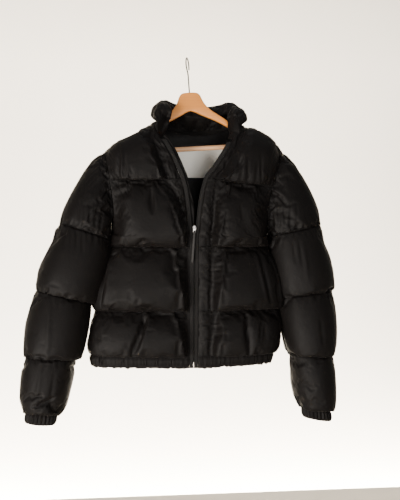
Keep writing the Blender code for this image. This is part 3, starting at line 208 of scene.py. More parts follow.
# Finer creases, laid after the cloth has settled; a negative depth is a ridge.
FOLDS = {
    "front_right": (
        (-102, -603, -110, -635, 3.2, 3.4), (-110, -635, -124, -676, 3.6, 3.0),
        (-96, -606, -104, -634, 3.0, -1.8), (-104, -634, -118, -672, 3.2, -1.6),
        (-90, -312, -87, -366, 3.6, 2.4), (-83, -318, -80, -352, 3.4, -1.5),
        (-165, -286, -162, -212, 3.4, 3.0), (-159, -284, -156, -220, 3.0, -1.8),
        (-152, -288, -150, -232, 3.2, 2.2), (-186, -452, -206, -572, 4.5, 3.4),
        (-178, -456, -197, -570, 4.5, -2.6),
    ),
    "front_left": (
        (126, -604, 128, -668, 3.4, 3.0), (134, -606, 137, -662, 3.2, -1.6),
        (57, -600, 60, -660, 3.2, 2.2), (167, -610, 160, -660, 3.2, 2.0),
        (113, -298, 116, -252, 3.0, 1.4), (121, -296, 122, -256, 2.8, -0.7),
        (131, -300, 129, -238, 3.2, 1.7), (141, -298, 143, -262, 2.8, -0.8),
        (150, -300, 152, -246, 3.2, 1.2), (163, -300, 161, -230, 3.2, 1.6),
        (178, -302, 184, -256, 3.4, 1.5),
        (160, -452, 186, -570, 4.5, 3.4), (152, -456, 177, -570, 4.5, -2.4),
    ),
    "sleeve_left": (
        (262, -440, 268, -520, 5.0, -1.8), (300, -610, 304, -668, 5.0, 2.0),
        (196, -404, 192, -354, 3.0, 2.2), (208, -402, 206, -346, 3.2, 2.4),
        (220, -398, 219, -350, 3.0, 1.8), (232, -396, 233, -342, 3.2, 2.4),
        (246, -392, 248, -350, 3.0, 1.6), (226, -398, 226, -360, 2.6, -1.0),
        (238, -432, 242, -478, 3.0, 1.8), (252, -428, 257, -486, 3.2, 2.0),
    ),
    "sleeve_right": (
        (-318, -560, -322, -680, 6.0, -2.2), (-336, -722, -350, -800, 5.0, -2.0),
        (-255, -388, -252, -338, 3.0, 2.4), (-243, -392, -239, -346, 3.0, 1.8),
        (-231, -398, -226, -342, 3.2, 2.6), (-218, -404, -212, -356, 3.0, 2.0),
        (-206, -410, -200, -366, 3.0, 1.8), (-225, -398, -219, -360, 2.6, -1.0),
        (-280, -392, -287, -444, 3.2, 2.2), (-268, -396, -273, -452, 3.0, 1.8),
        (-256, -402, -260, -450, 3.2, 2.2), (-244, -408, -246, -458, 3.0, 1.6),
        (-306, -722, -318, -800, 5.0, 1.8),
    ),
}

# --- hanger -----------------------------------------------------------------------------
HANGER_TILT = 4.0       # degrees about the hook, wearer's right arm lower
HANGER_DOWN = 80.0      # from the rail to the top of the wood
HANGER_THICKNESS = 13.0
HANGER_ROUND = 2.4      # rounding of its edges
# Outline of one half, from the middle of the top to the arm's tip and back underneath.
HANGER_TOP = (
    # out   down
    (0, 0), (14, 0.8), (20, 3), (25, 9), (29, 19), (36, 31), (47, 43), (60, 52.5),
    (75, 63), (93, 77), (118, 93), (145, 111), (158, 121), (164, 127), (167, 134),
)
HANGER_UNDER = (
    (167, 140), (163, 144), (157, 143), (148, 127), (118, 106), (93, 90.5),
    (60, 70.5), (40, 61), (22, 52.5), (6, 44.5),
)
HANGER_APEX = 43        # depth of the notch in the middle of its underside
BAR_RADIUS = 5.6
BAR_DOWN = 132.0
BAR_PLAY = 0.6          # between the bar's end and the arm's underside
HOOK_WIRE = 1.6         # radius of the wire
HOOK_INSIDE = 16.0      # radius inside the hook
HOOK_TURN = 18.0        # degrees that the hook is swivelled on the hanger

# --- zip --------------------------------------------------------------------------------
TAPE_WALL = 2.0
TAPE_WIDTH = 9.6
TAPE_FORWARD = 2.5      # the tape's middle stands in front of the inner cloth
COIL_INSET = 1.15       # from the tape's edge
COIL_PITCH = 1.4
GUARD_EDGE = ((-402, 8), (-363, 10), (-335, 6), (-312, -0.5), (-285, -5), (-260, -14.5),
              (-239, -23.7), (-219, -33), (-200, -44.5), (-182, -57))
ZIP_SPREAD = -402.0     # height at which the two tapes part
SLIDER = (8.6, 10.0, 19.0, 3.6)  # X of its middle, width, height and depth
SLIDER_HEIGHT = -402.0
LUG = (1.4, 4.4, 3.2)   # each of the slider's two lugs: width, height and reach
PULL_HEAD = (3.0, 1.1)  # width between the lugs, and radius about the hinge
PULL_LENGTH = 77.0
PULL_SHOULDER = 8.5     # distance below the hinge at which it is at its full width
PULL_SLANT = 0.07       # how far it leans towards the wearer's right as it hangs
PULL_TOP = (1.6, 4.2)   # its half width at the top, and how far that is below the hinge
PULL_WIDTH = 4.8
PULL_WALL = 1.6

# --- label and pockets ------------------------------------------------------------------
LABEL_SIZE = (130.0, 68.5)
LABEL_MIDDLE = 33.0
LABEL_TOP = -206.0
LABEL_WALL = 0.8
LABEL_OFF = 1.2         # in front of the inner cloth
WELT_SHARE = (0.25, 0.35)   # of a front's width, from its side
WELT_ROWS = (1.04, 1.86)
WELT_WALL = 1.5

# --- fineness and cloth -------------------------------------------------------------------
CHANNEL_TALL = 148.0    # height of a usual channel, for spacing its rows
CHANNEL_COUNT = 32      # rows of cloth in each channel before it settles
FRONT_COLUMNS = 48
BACK_FINER = 3          # columns of the back's cloth for each of its base columns
SLEEVE_ROUND = 84       # points round a sleeve
COLLAR_STEP = 4.2       # between the collar's rings
COLLAR_ROUND = 44       # points round its section
MIDDLE_CALM = 0.055     # share of the back's half width, on each side, that settles less
SETTLE_FRAMES = 26
WIDE_BLURS = 60         # blurs that tell the settled cloth's wide swelling from its wrinkles
CLOTH_SETTINGS = {
    "quality": 5, "mass": 0.12, "tension_stiffness": 20, "compression_stiffness": 20,
    "shear_stiffness": 8, "bending_stiffness": 0.4, "tension_damping": 10,
    "compression_damping": 10, "air_damping": 2, "use_pressure": True,
    "uniform_pressure_force": 4.0,
}
SEEDS = {
    "front_right": 11, "front_left": 23, "back": 37, "sleeve_right": 53, "sleeve_left": 71,
    "cuff_right": 5, "cuff_left": 9,
}
CLOTH_SHARP = 58        # degrees between faces, from which an edge is shaded sharp
SEAM_NEAR = 9.0         # distance over which a seam's puckers and its painted shade fade in the looks
BAND_NEAR = 0.3         # and how puckered plain bands are, and how much painted seam shade they get, as a share
STITCH_PITCH = 3.4
GATHER_SPACING = 10.5   # small folds along each seam: spacing, reach and depth
GATHER_REACH = 17.0
GATHER_DEPTH = 2.0
# The same of the folds at the borders: at a front's side and a back's, beside the strip, on
# it, and at the collar's foot and crest.
SIDE_FOLDS = (15, 26, 1.6)
BACK_FOLDS = (15, 26, 1.5)
PAST_FOLDS = (13, 22, 1.5)
STRIP_FOLDS = (9, 11, 1.9)
COLLAR_FOLDS = ((12, 20, 1.5), (14, 16, 1.1))
CUFF_FLUTE = 1.7        # height of a cuff's flutes
HEM_FLUTE = 8.5         # spacing of a hem's gathers
# The strip beside the zip on each front: height, width.
PLACKET = {
    "right": ((-740, 5), (-480, 5), (-410, 5), (-358, 9), (-312, 22), (-278, 31), (-244, 27),
              (-212, 20), (-150, 10)),
    "left": ((-740, 31), (-480, 31), (-402, 30), (-330, 26), (-250, 18), (-150, 10)),
}
PLACKET_CALM = {"right": 0.6, "left": 0.25}  # how much of the wrinkles they keep
STRIP_PUFF = 5.0
STRIP_HELD = 2.6            # half width of the line beside it that stays as it settles
PAD_RISE = (10.0, 24.0)     # the padding is full this far beyond it, and more up a channel

# --- looks --------------------------------------------------------------------------------
SHELL_DARK = (0.0018, 0.00145, 0.00135, 1)
SHELL_LIGHT = (0.0034, 0.0028, 0.0026, 1)
# Colour the nylon darkens towards near its seams: painted shade in the seam grooves.
SHELL_SEAM_SHADE = (0.0010, 0.0009, 0.0009, 1)
STAGE_DARK = (0.86, 0.785, 0.67, 1)
STAGE_LIGHT = (0.93, 0.865, 0.765, 1)
FLOOR = -1.6                # height of the floor, metres
WALL = 4.0                  # distance of the wall behind
BACK_BEND = 2.4             # radius of the floor's bend up into the wall
WORLD_TINT = (1.0, 0.98, 0.95, 1)
WORLD_LIGHT = 0.34
CAMERA_TURN = -8.0          # degrees round the object, from straight in front
CAMERA_FOCUS = 936.0        # focal length, for a picture 500 high
CAMERA_AWAY = 2.2
CAMERA_ASIDE = 0.03055
CAMERA_HEIGHT = -0.44955
LIGHTS = (
    # name        place               aimed at         size         watts  tint
    ("low_key", (-1.9, -1.9, -1.2), (0, 0, -0.45), (1.3, 1.0), 192.0, (1.0, 0.94, 0.88)),
    ("front_fill", (0.25, -3.0, -0.9), (0, 0, -0.4), (1.2, 1.2), 54.0, (1.0, 0.97, 0.95)),
    ("top_soft", (0.2, -0.2, 1.7), (0, 0.1, -0.4), (2.2, 2.2), 14.0, (0.97, 0.98, 1.0)),
    ("wall_wash", (0.0, 1.9, -1.35), (0.0, 4.0, 0.0), (4.2, 0.6), 640.0, (1.0, 0.96, 0.89)),
)

# --- curves -----------------------------------------------------------------------------
def column(rows, number):
    return np.array([row[number] for row in rows], float)


def read_table(rows, where):
    """Each further column of a table, read as a smooth curve over its first column."""
    return [follow(column(rows, 0), column(rows, k), where) for k in range(1, len(rows[0]))]


def follow(places, values, where):
    """Smooth curve through the values, with no overshoot between them."""
    places = np.asarray(places, float)
    values = np.asarray(values, float)
    step = np.diff(places)
    slope = np.diff(values) / step
    tangent = np.empty_like(values)
    tangent[0] = slope[0]
    tangent[-1] = slope[-1]
    before, after = slope[:-1], slope[1:]
    same = before * after > 0
    mean = np.zeros_like(before)
    mean[same] = 2 * before[same] * after[same] / (before[same] + after[same])
    tangent[1:-1] = mean
    where = np.asarray(where, float)
    k = np.clip(np.searchsorted(places, where) - 1, 0, len(step) - 1)
    t = (where - places[k]) / step[k]
    inside = np.clip(t, 0, 1)
    h00 = (1 + 2 * inside) * (1 - inside) ** 2
    h10 = inside * (1 - inside) ** 2
    h01 = inside ** 2 * (3 - 2 * inside)
    h11 = inside ** 2 * (inside - 1)
    curve = (h00 * values[k] + h10 * step[k] * tangent[k]
             + h01 * values[k + 1] + h11 * step[k] * tangent[k + 1])
    end = np.where(t > 1, tangent[k + 1], tangent[k])
    return curve + (t - inside) * step[k] * end


class Arc:
    """Quarter of a superellipse, read by its length: 0 is the face and 1 is the edge."""

    def __init__(self, power, steps=600):
        turn = np.linspace(0, math.pi / 2, steps)
        self.side = np.sin(turn) ** (2 / power)
        self.face = np.cos(turn) ** (2 / power)
        self.face[-1] = 0
        length = np.hypot(np.diff(self.side), np.diff(self.face))
        self.at = np.concatenate([[0], np.cumsum(length)])
        self.at /= self.at[-1]

    def read(self, share):
        """How far to the side, and how far forward, a share of the quarter lies."""
        share = np.asarray(share, float)
        size = np.abs(share)
        folded = np.where(size > 1, 2 - size, size)
        side = np.interp(folded, self.at, self.side) * np.sign(share)
        face = np.interp(folded, self.at, self.face) * np.where(size > 1, -1, 1)
        return side, face

    def share_of_side(self, side):
        return np.interp(np.abs(side), self.side, self.at) * np.sign(side)

    def share_of_face(self, face):
        return np.interp(-np.asarray(face, float), -self.face, self.at)


SECTION = Arc(SECTION_POWER)
ROLL = Arc(ROLL_POWER)


def reached(line):
    """Length along a line of points from its start to each of them."""
    return np.concatenate([[0], np.cumsum(np.linalg.norm(np.diff(line, axis=0), axis=1))])


def read_line(line, at, wanted):
    """Points of a line at places along it."""
    return np.stack([np.interp(wanted, at, line[:, k]) for k in range(3)], -1)


def along_curve(table, count, endpoint=True):
    """Points evenly spaced on a smooth curve through a table's points."""
    line = np.array(table, float)
    at = reached(line)
    wanted = np.linspace(0, at[-1], count, endpoint=endpoint)
    return np.stack([follow(at, line[:, k], wanted) for k in (0, 1)], -1)


def ramp(low, high, value):
    t = np.clip((value - low) / (high - low), 0, 1)
    return t * t * (3 - 2 * t)


def unit(vectors):
    length = np.linalg.norm(vectors, axis=-1, keepdims=True)
    return vectors / np.maximum(length, 1e-9)


def points(x, y, z):
    return np.stack(np.broadcast_arrays(x, y, z), -1).astype(float)


def steepness(surface, u, v, step=1e-3):
    """Outward normal of a surface whose rows go up and whose columns go to +X in front."""
    along = surface(u + step, v) - surface(u - step, v)
    up = surface(u, v + step) - surface(u, v - step)
    return unit(np.cross(along, up))


# --- body base --------------------------------------------------------------------------
def section(z):
    """Right side, left side and the reach forward and back of the body's inner cloth."""
    return read_table(BODY_SECTIONS, z)


def seam_height(row, across):
    """Height of a body row; across is -1 at the right side, 0 at the zip and 1 at the left."""
    table = np.array([SEAM_HEIGHTS[name] for name in BODY_SEAMS], float)
    row = np.asarray(row, float)
    at_zip, at_right, at_left = (np.interp(row, range(len(table)), heights) for heights in table.T)
    side = np.where(np.asarray(across) < 0, at_right, at_left)
    return at_zip + (side - at_zip) * np.abs(across) + np.minimum(row, 0) * HEM_ROW


def underarm(side):
    return float(seam_height(UNDERARM_ROW, SIGN[side]))


def armhole_reach(side, z):
    """How far in front of its middle the armhole's lower half runs at a height."""
    yoke = SEAM_HEIGHTS["yoke"][1 if side == "right" else 2]
    tall = yoke - underarm(side)
    share = np.clip((yoke - np.asarray(z, float)) / tall, 0, 1)
    return ARMHOLE_DEPTH * (1 - share ** SECTION_POWER) ** (1 / SECTION_POWER)


def lower_row(side, z, face):
    """Section of the body below the yoke, in front (face -1) or behind (face 1): the axis,
    the reach forward, the share of the arc at the side and the half width."""
    right, left, front, back = section(z)
    axis = (right + left) / 2
    reach = front if face < 0 else back
    last = SECTION.share_of_face(armhole_reach(side, z) / reach)
    wide = np.abs((right if side == "right" else left) - axis) / SECTION.read(last)[0]
    return axis, reach, last, wide


def front_edge(side, z):
    return read_table(FRONT_EDGE[side], z)[0]


def front_lower(side, u, row):
    sign = SIGN[side]
    z = seam_height(row, sign * u)
    axis, reach, last, wide = lower_row(side, z, -1)
    first = SECTION.share_of_side((front_edge(side, z) - axis) / wide) * sign
    out, forward = SECTION.read(first + (last - first) * u)
    return points(axis + sign * wide * out, -reach * forward, z)


def shoulder_line(side, u):
    """Shoulder seam of the inner cloth, from the neck to the tip."""
    rows = SHOULDER_LINE[side]
    sign = SIGN[side]
    x = rows[0][0] + (rows[-1][0] - rows[0][0]) * np.asarray(u, float)
    return x, follow(sign * column(rows, 0), column(rows, 1), sign * x)


def front_base(side):
    """Surface of a front's inner cloth, by its share of the width towards +X and its row."""
    (in_x, _, in_low), (out_x, _, out_low) = (
        front_lower(side, np.array(end), np.array(3.0)) for end in (0.0, 1.0))
    (neck_x, neck_z), (tip_x, tip_z) = (shoulder_line(side, end) for end in (0.0, 1.0))

    def surface(u, row):
        u, row = np.broadcast_arrays(np.asarray(u, float), np.asarray(row, float))
        if side == "right":
            u = 1 - u
        low = front_lower(side, u, np.minimum(row, 3))
        t = np.maximum(row - 3, 0)
        up, forward = ROLL.read(t)
        top_x, top_z = shoulder_line(side, u)
        in_z, out_z = in_low + (neck_z - in_low) * up, out_low + (tip_z - out_low) * up
        inner = front_edge(side, in_z) + (neck_x - front_edge(side, neck_z)) * t
        outer = follow([out_low, tip_z], [out_x, tip_x], out_z)
        x = ((1 - t) * low[..., 0] + t * top_x
             + (1 - u) * (inner - (1 - t) * in_x - t * neck_x)
             + u * (outer - (1 - t) * out_x - t * tip_x))
        high = points(x, low[..., 1] * forward, low[..., 2] + (top_z - low[..., 2]) * up)
        return np.where((row > 3)[..., None], high, low)

    return surface


def back_base(u, row):
    """Surface of the back; u runs from the wearer's left side to the right side."""
    u, row = np.broadcast_arrays(np.asarray(u, float), np.asarray(row, float))
    half = SHOULDER_COLUMNS + NECK_COLUMNS / 2
    split = NECK_COLUMNS / 2 / half
    place = (u * 2 - 1) * half
    surfaces = {}
    for side, sign in SIGN.items():
        across = np.maximum(-place * sign, 0) / half
        z = seam_height(np.minimum(row, 3), across * sign)
        axis, reach, last, wide = lower_row(side, z, 1)
        zero = SECTION.share_of_side((NECK_CENTRE - axis) / wide) * sign
        off, back = SECTION.read(zero + (last - zero) * across)
        low = points(axis + sign * wide * off, reach * back, z)
        on_shoulder = across > split
        within = np.clip(across / split, 0, 1)
        neck_out, neck_back = SECTION.read(within)
        neck_x, neck_z = SHOULDER_LINE[side][0]
        line_x, line_z = shoulder_line(side, np.clip((across - split) / (1 - split), 0, 1.05))
        top_x = np.where(on_shoulder, line_x, NECK_CENTRE + (neck_x - NECK_CENTRE) * neck_out)
        top_z = np.where(on_shoulder, line_z, neck_z + (NECK_TOP - neck_z) * (1 - within ** 2))
        stop = np.where(on_shoulder, 1.0,
                        ROLL.share_of_face(NECK_BACK * neck_back / np.maximum(low[..., 1], 1)))
        up, forward = ROLL.read(np.maximum(row - 3, 0) * stop)
        blend = up / np.maximum(ROLL.read(stop)[0], 1e-6)
        high = points(low[..., 0] + (top_x - low[..., 0]) * blend, low[..., 1] * forward,
                      low[..., 2] + (top_z - low[..., 2]) * up)
        surfaces[side] = np.where((row > 3)[..., None], high, low)
    return np.where((place < 0)[..., None], surfaces["left"], surfaces["right"])


# --- padding ----------------------------------------------------------------------------
def crest(t):
    """Height of the padding up a channel, from the seam below it to the seam above."""
    rise, fall = PUFF_CREST
    peak = rise / (rise + fall)
    top = peak ** rise * (1 - peak) ** fall
    t = np.clip(t, 0, 1)
    return t ** rise * (1 - t) ** fall / top


def lengths(base, axis):
    """Length along the rows (axis 1) or the columns (axis 0) of a grid of points."""
    step = np.linalg.norm(np.diff(base, axis=axis), axis=-1)
    start = np.zeros_like(np.take(step, [0], axis=axis))
    return np.concatenate([start, np.cumsum(step, axis=axis)], axis=axis)


# --- fine grids ---------------------------------------------------------------------------
def channel_steps(puff):
    """Rows of one channel from seam to seam, spaced evenly along its outer cloth."""
    t = np.linspace(0, 1, 240)
    reach = reached(np.stack([t * CHANNEL_TALL, puff * crest(t)], -1))
    return np.interp(np.linspace(0, reach[-1], CHANNEL_COUNT + 1), reach, t)


def body_rows():
    steps = channel_steps(BODY_PUFF)[:-1]
    rows = [channel + step for channel in range(SHOULDER_ROW) for step in steps]
    return np.array(rows + [SHOULDER_ROW], float)


def channel_share(rows):
    """Place of each row inside its channel, 0 at the seam below and 1 at the seam above."""
    share = rows - np.floor(rows + 1e-9)
    share[-1] = 1.0
    return np.clip(share, 0, 1)


def with_middles(line):
    """A row of points with one more between each two, on a smooth curve."""
    inside = (9 * (line[1:-2] + line[2:-1]) - line[:-3] - line[3:]) / 16
    first = (3 * line[:1] + 6 * line[1:2] - line[2:3]) / 8
    last = (3 * line[-1:] + 6 * line[-2:-1] - line[-3:-2]) / 8
    full = np.empty((2 * len(line) - 1,) + line.shape[1:])
    full[::2] = line
    full[1::2] = np.concatenate([first, inside, last])
    return full


def finer(grid, seams, closed=False):
    """A grid of twice as many rows and columns; it stays sharp at the seam rows."""
    parts = [with_middles(grid[low:high + 1]) for low, high in zip(seams[:-1], seams[1:])]
    grid = np.concatenate([parts[0]] + [part[1:] for part in parts[1:]])
    if not closed:
        return with_middles(grid.swapaxes(0, 1)).swapaxes(0, 1)
    middle = (9 * (grid + np.roll(grid, -1, 1)) - np.roll(grid, 1, 1) - np.roll(grid, -2, 1)) / 16
    full = np.empty((grid.shape[0], 2 * grid.shape[1]) + grid.shape[2:])
    full[:, ::2] = grid
    full[:, 1::2] = middle
    return full


def grid_normals(grid, away_from, closed=False):
    """Unit normals of a grid, pointing away from the given points."""
    if closed:
        along = np.roll(grid, -1, 1) - np.roll(grid, 1, 1)
    else:
        along = np.gradient(grid, axis=1)
    normal = unit(np.cross(along, np.gradient(grid, axis=0)))
    return normal if np.sum(normal * (grid - away_from)) > 0 else -normal


def smoothed(grid, times, closed=False):
    """The grid's values after a number of light blurs along both axes."""
    for _ in range(times):
        inner = grid.copy()
        inner[1:-1] = (grid[:-2] + 2 * grid[1:-1] + grid[2:]) / 4
        if closed:
            grid = (np.roll(inner, 1, 1) + 2 * inner + np.roll(inner, -1, 1)) / 4
        else:
            grid = inner.copy()
            grid[:, 1:-1] = (inner[:, :-2] + 2 * inner[:, 1:-1] + inner[:, 2:]) / 4
    return grid


def grid_faces(rows, columns, closed=False, start=0, flip=False):
    """Quads of a grid of points that are numbered row by row."""
    r = np.arange(rows - 1)[:, None]
    c = np.arange(columns if closed else columns - 1)[None, :]
    d = (c + 1) % columns
    quads = np.stack(np.broadcast_arrays(r * columns + c, r * columns + d,
                                         (r + 1) * columns + d, (r + 1) * columns + c), -1)
    quads = quads.reshape(-1, 4) + start
    return (quads[:, ::-1] if flip else quads).tolist()


def add_object(name, vertices, faces, scale=MM):
    mesh = bpy.data.meshes.new(name)
    mesh.from_pydata((np.asarray(vertices, float).reshape(-1, 3) * scale).tolist(), [], faces)
    piece = bpy.data.objects.new(name, mesh)
    bpy.context.scene.collection.objects.link(piece)
    return piece


def settled(name, start, held, slack, cap, calm=0.6, loose=1, closed=False):
    """Outer cloth after it has buckled between its seams.

    The cloth is longer than its seams allow by the share slack, the filling presses it out,
    and the points of held stay.  What remains of its wide swelling is cut down by the share
    calm, no point moves more than cap, and of the wrinkles the share loose is kept."""
    rows, columns = start.shape[:2]
    piece = add_object(name + "_settling", start, grid_faces(rows, columns, closed))
    turn_outwards(piece.data)
    group = piece.vertex_groups.new(name="held")
    group.add(np.nonzero(held.reshape(-1))[0].tolist(), 1.0, "REPLACE")
    cloth = piece.modifiers.new("cloth", "CLOTH")
    for setting, value in CLOTH_SETTINGS.items():
        setattr(cloth.settings, setting, value)
    cloth.settings.vertex_group_mass = group.name
    cloth.settings.shrink_min = -slack
    cloth.settings.effector_weights.gravity = 0.0
    cloth.collision_settings.use_collision = False
    cloth.collision_settings.use_self_collision = False
    cloth.point_cache.frame_start = 1
    cloth.point_cache.frame_end = SETTLE_FRAMES
    for number in range(1, SETTLE_FRAMES + 1):
        bpy.context.scene.frame_set(number)
    result = piece.evaluated_get(bpy.context.evaluated_depsgraph_get())
    flat = np.empty(rows * columns * 3)
    result.data.vertices.foreach_get("co", flat)
    moved = flat.reshape(start.shape) / MM - start
    bpy.data.objects.remove(piece, do_unlink=True)
    bpy.context.scene.frame_set(1)
    moved = moved - calm * smoothed(moved, WIDE_BLURS, closed)
    length = np.linalg.norm(moved, axis=-1, keepdims=True)
    moved = moved * np.minimum(1, cap / np.maximum(length, 1e-6))
    return start + moved * np.broadcast_to(loose, held.shape)[..., None]


def turn_outwards(mesh):
    """Turn a mesh's faces outwards."""
    shape = bmesh.new()
    shape.from_mesh(mesh)
    bmesh.ops.recalc_face_normals(shape, faces=shape.faces)
    if shape.calc_volume(signed=True) < 0:
        bmesh.ops.reverse_faces(shape, faces=shape.faces)
    shape.to_mesh(mesh)
    shape.free()


def drawn_in(along, away, spacing, reach, depth, seed):
    """Small folds that a seam draws into the cloth: each starts at the seam, widens and
    fades on its way out.  along is the place on the seam and away the distance from it."""
    dice = np.random.default_rng(seed)
    field = np.zeros(np.broadcast(along, away).shape)
    place = along.min() + spacing * dice.uniform(0, 1)
    while place < along.max():
        wide = spacing * dice.uniform(0.22, 0.42)
        long = reach * dice.uniform(0.45, 1.5)
        deep = depth * dice.uniform(0.35, 1.3)
        lean = dice.normal(0, 0.16)
        line = place + lean * away
        fold = np.exp(-((along - line) / (wide * (1 + 0.5 * away / long))) ** 2)
        field += deep * fold * np.clip(away / 3.0, 0, 1) * np.exp(-(away / long) ** 1.4)
        place += spacing * dice.uniform(0.55, 1.6)
    return field


def pressed(base, creases):
    """Depth of listed creases: each row gives two ends, a width and a depth, where a
    negative depth is a ridge."""
    depth = np.zeros(base.shape[:-1])
    for x0, z0, x1, z1, width, deep in creases:
        start = np.array((x0, z0), float)
        run = np.array((x1, z1), float) - start
        offset = base[..., (0, 2)] - start
        share = np.clip((offset @ run) / (run @ run), 0, 1)
        away = np.linalg.norm(offset - share[..., None] * run, axis=-1)
        depth += deep * (0.3 + 0.7 * np.sin(math.pi * share)) * np.exp(-(away / width) ** 2)
    return depth


def lay_uv(mesh, across, up, loop):
    """UV map in metres of cloth; loop is the length all round, or 0 where it is open."""
    corner = np.empty(len(mesh.loops), int)
    mesh.loops.foreach_get("vertex_index", corner)
    starts = np.empty(len(mesh.polygons), int)
    mesh.polygons.foreach_get("loop_start", starts)
    u = across.reshape(-1)[corner].copy()
    v = up.reshape(-1)[corner]
    if loop:
        most = np.maximum.reduceat(u, starts)
        counts = np.diff(np.append(starts, len(u)))
        far = np.repeat(most, counts) - u > loop / 2
        u[far] += loop
    layer = mesh.uv_layers.new(name="cloth")
    layer.data.foreach_set("uv", np.stack([u * MM, v * MM], -1).reshape(-1))


def keep_number(mesh, name, values):
    """A number at each point of a mesh, for its material."""
    kept = mesh.attributes.new(name, "FLOAT", "POINT")
    kept.data.foreach_set("value", np.asarray(values, float).reshape(-1))


def dress(piece, node, finishes, body=JACKET):
    """Give a finished piece its materials and its body, and hide the CAD node it stands for."""
    for finish in finishes:
        piece.data.materials.append(finish)
    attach(piece, body)
    if node:
        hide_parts(node)
    return piece


def rim_faces(outer, inner, step):
    """Faces between one border of the outer cloth and the same border of the inner one."""
    return [[*outer[step * k:step * (k + 1) + 1], inner[k + 1], inner[k]]
            for k in range(len(inner) - 1)]


def cloth_piece(name, node, outer, inner, near_seam, finishes, closed=False):
    """Closed piece: an outer grid, an inner grid on all of its points or every second one,
    and a rim that joins the two.  near_seam says how near a seam each grid's points are."""
    step = (len(outer) - 1) // (len(inner) - 1)
    front = np.arange(outer[..., 0].size).reshape(outer.shape[:2])
    back = front.size + np.arange(inner[..., 0].size).reshape(inner.shape[:2])
    faces = grid_faces(*front.shape, closed)
    for end in (0, -1):
        borders = front[end], back[end]
        if closed:
            borders = [np.append(line, line[0]) for line in borders]
        faces += rim_faces(*borders, step)
    if not closed:
        for end in (0, -1):
            faces += rim_faces(front[:, end], back[:, end], step)
    outside = len(faces)
    faces += grid_faces(*back.shape, closed, start=front.size, flip=True)
    piece = add_object(name, np.concatenate([outer.reshape(-1, 3), inner.reshape(-1, 3)]), faces)
    mesh = piece.data
    mesh.polygons.foreach_set("material_index", np.repeat((0, len(finishes) - 1),
                                                          (outside, len(faces) - outside)))
    turn_outwards(mesh)
    mesh.shade_smooth()
    mesh.set_sharp_from_angle(angle=math.radians(CLOTH_SHARP))
    across, up = lengths(outer, 1), lengths(outer, 0)
    loop = 0.0
    if closed:
        columns = outer.shape[1]
        loop = float(across[:, -1].mean() * columns / (columns - 1))
        across = across / across[:, -1:] * loop * (columns - 1) / columns
    lay_uv(mesh, *(np.append(part, part[::step, ::step]) for part in (across, up)), loop)
    keep_number(mesh, "near_seam", np.concatenate(
        [np.broadcast_to(near, grid.shape).reshape(-1)
         for near, grid in zip(near_seam, (front, back))]))
    return dress(piece, node, finishes)


def padded_shell(name, outer, lining, fields, closed=False):
    """Padded piece: a fine outer cloth over a plain lining on every second point of it."""
    # near sets both the seam puckers and the painted shade along the seams.
    near = np.exp(-np.minimum(*fields[1:]) / SEAM_NEAR)
    piece = cloth_piece("cloth_" + name, name, outer, lining, (near, 0.0), (SHELL, LINING), closed)


def cloth_wall(name, node, inner, outer, finish, closed=False):
    """Thin piece of cloth between two grids of the same size."""
    piece = cloth_piece(name, node, outer, inner, (BAND_NEAR, BAND_NEAR), (finish,), closed)


# --- body panels --------------------------------------------------------------------------
def sideways_free(normal, near):
    """Turn wall directions out of the sleeve's way where a panel is near its armhole."""
    facing = np.abs(normal[..., 0])
    share = near * (1 - ramp(0.62, 0.97, facing))
    turned = normal.copy()
    turned[..., 0] *= 1 - share
    return unit(turned)


def hung_over(outer, t, loose, above_seam):
    """Let the crest of each channel sag over the seam below it, where it is loose."""
    droop = DROOP * loose * np.exp(-((t - DROOP_SHARE[0]) / DROOP_SHARE[1]) ** 2)
    outer[..., 2] -= np.minimum(droop, 0.8 * above_seam) * (t > 0.001)
    return outer


def underarm_share(side, base):
    """How much of the padding is left near the foot of an armhole."""
    height = underarm(side)
    foot = np.array((section(height)[0 if side == "right" else 1], 0, height), float)
    return ramp(*FOOT_QUIET, np.linalg.norm(base - foot, axis=-1))


def above_own_seam(base, rows):
    """Height of each point over the seam at the bottom of its own channel."""
    seam = np.searchsorted(rows, np.minimum(np.floor(rows + 1e-9), SHOULDER_ROW - 1) - 1e-9)
    return np.maximum(base[..., 2] - base[seam][..., 2], 0)


def side_fill(v, to_side, above, shoulder_loss):
    """Share of a channel's padding, less at a side seam, an armhole and the shoulder."""
    least = SIDE_SHARE * (1 - above) + ARMHOLE_SHARE * above
    full = least + (1 - least) * np.sqrt(ramp(0, SIDE_RISE, to_side))
    return (full * (1 - YOKE_LOSS * ramp(*YOKE_ROWS, v))
            * (1 - shoulder_loss * ramp(*SHOULDER_ROWS, v)))


def panel_cloth(base_of, base, u, v, thick, to_side, above, loose):
    """Outer cloth of a body panel, its channels hung over the seams below them."""
    rows = v[:, 0]
    direction = sideways_free(steepness(base_of, u, v),
                              (1 - ramp(*SIDEWAYS_REACH, to_side)) * above)
    return hung_over(base + direction * thick[..., None], channel_share(rows)[:, None], loose,
                     above_own_seam(base, rows))


def at_seams(t, count):
    """The points of a grid that lie on its seams or its first or last column."""
    held = np.repeat((t < 1e-6) | (t > 1 - 1e-6), count, axis=1)
    held[:, 0] = held[:, -1] = True
    return held


def seam_rows(rows):
    """Numbers of the rows that lie on a seam of the body."""
    return np.nonzero(np.isin(np.round(rows, 9), np.arange(SHOULDER_ROW + 1)))[0]


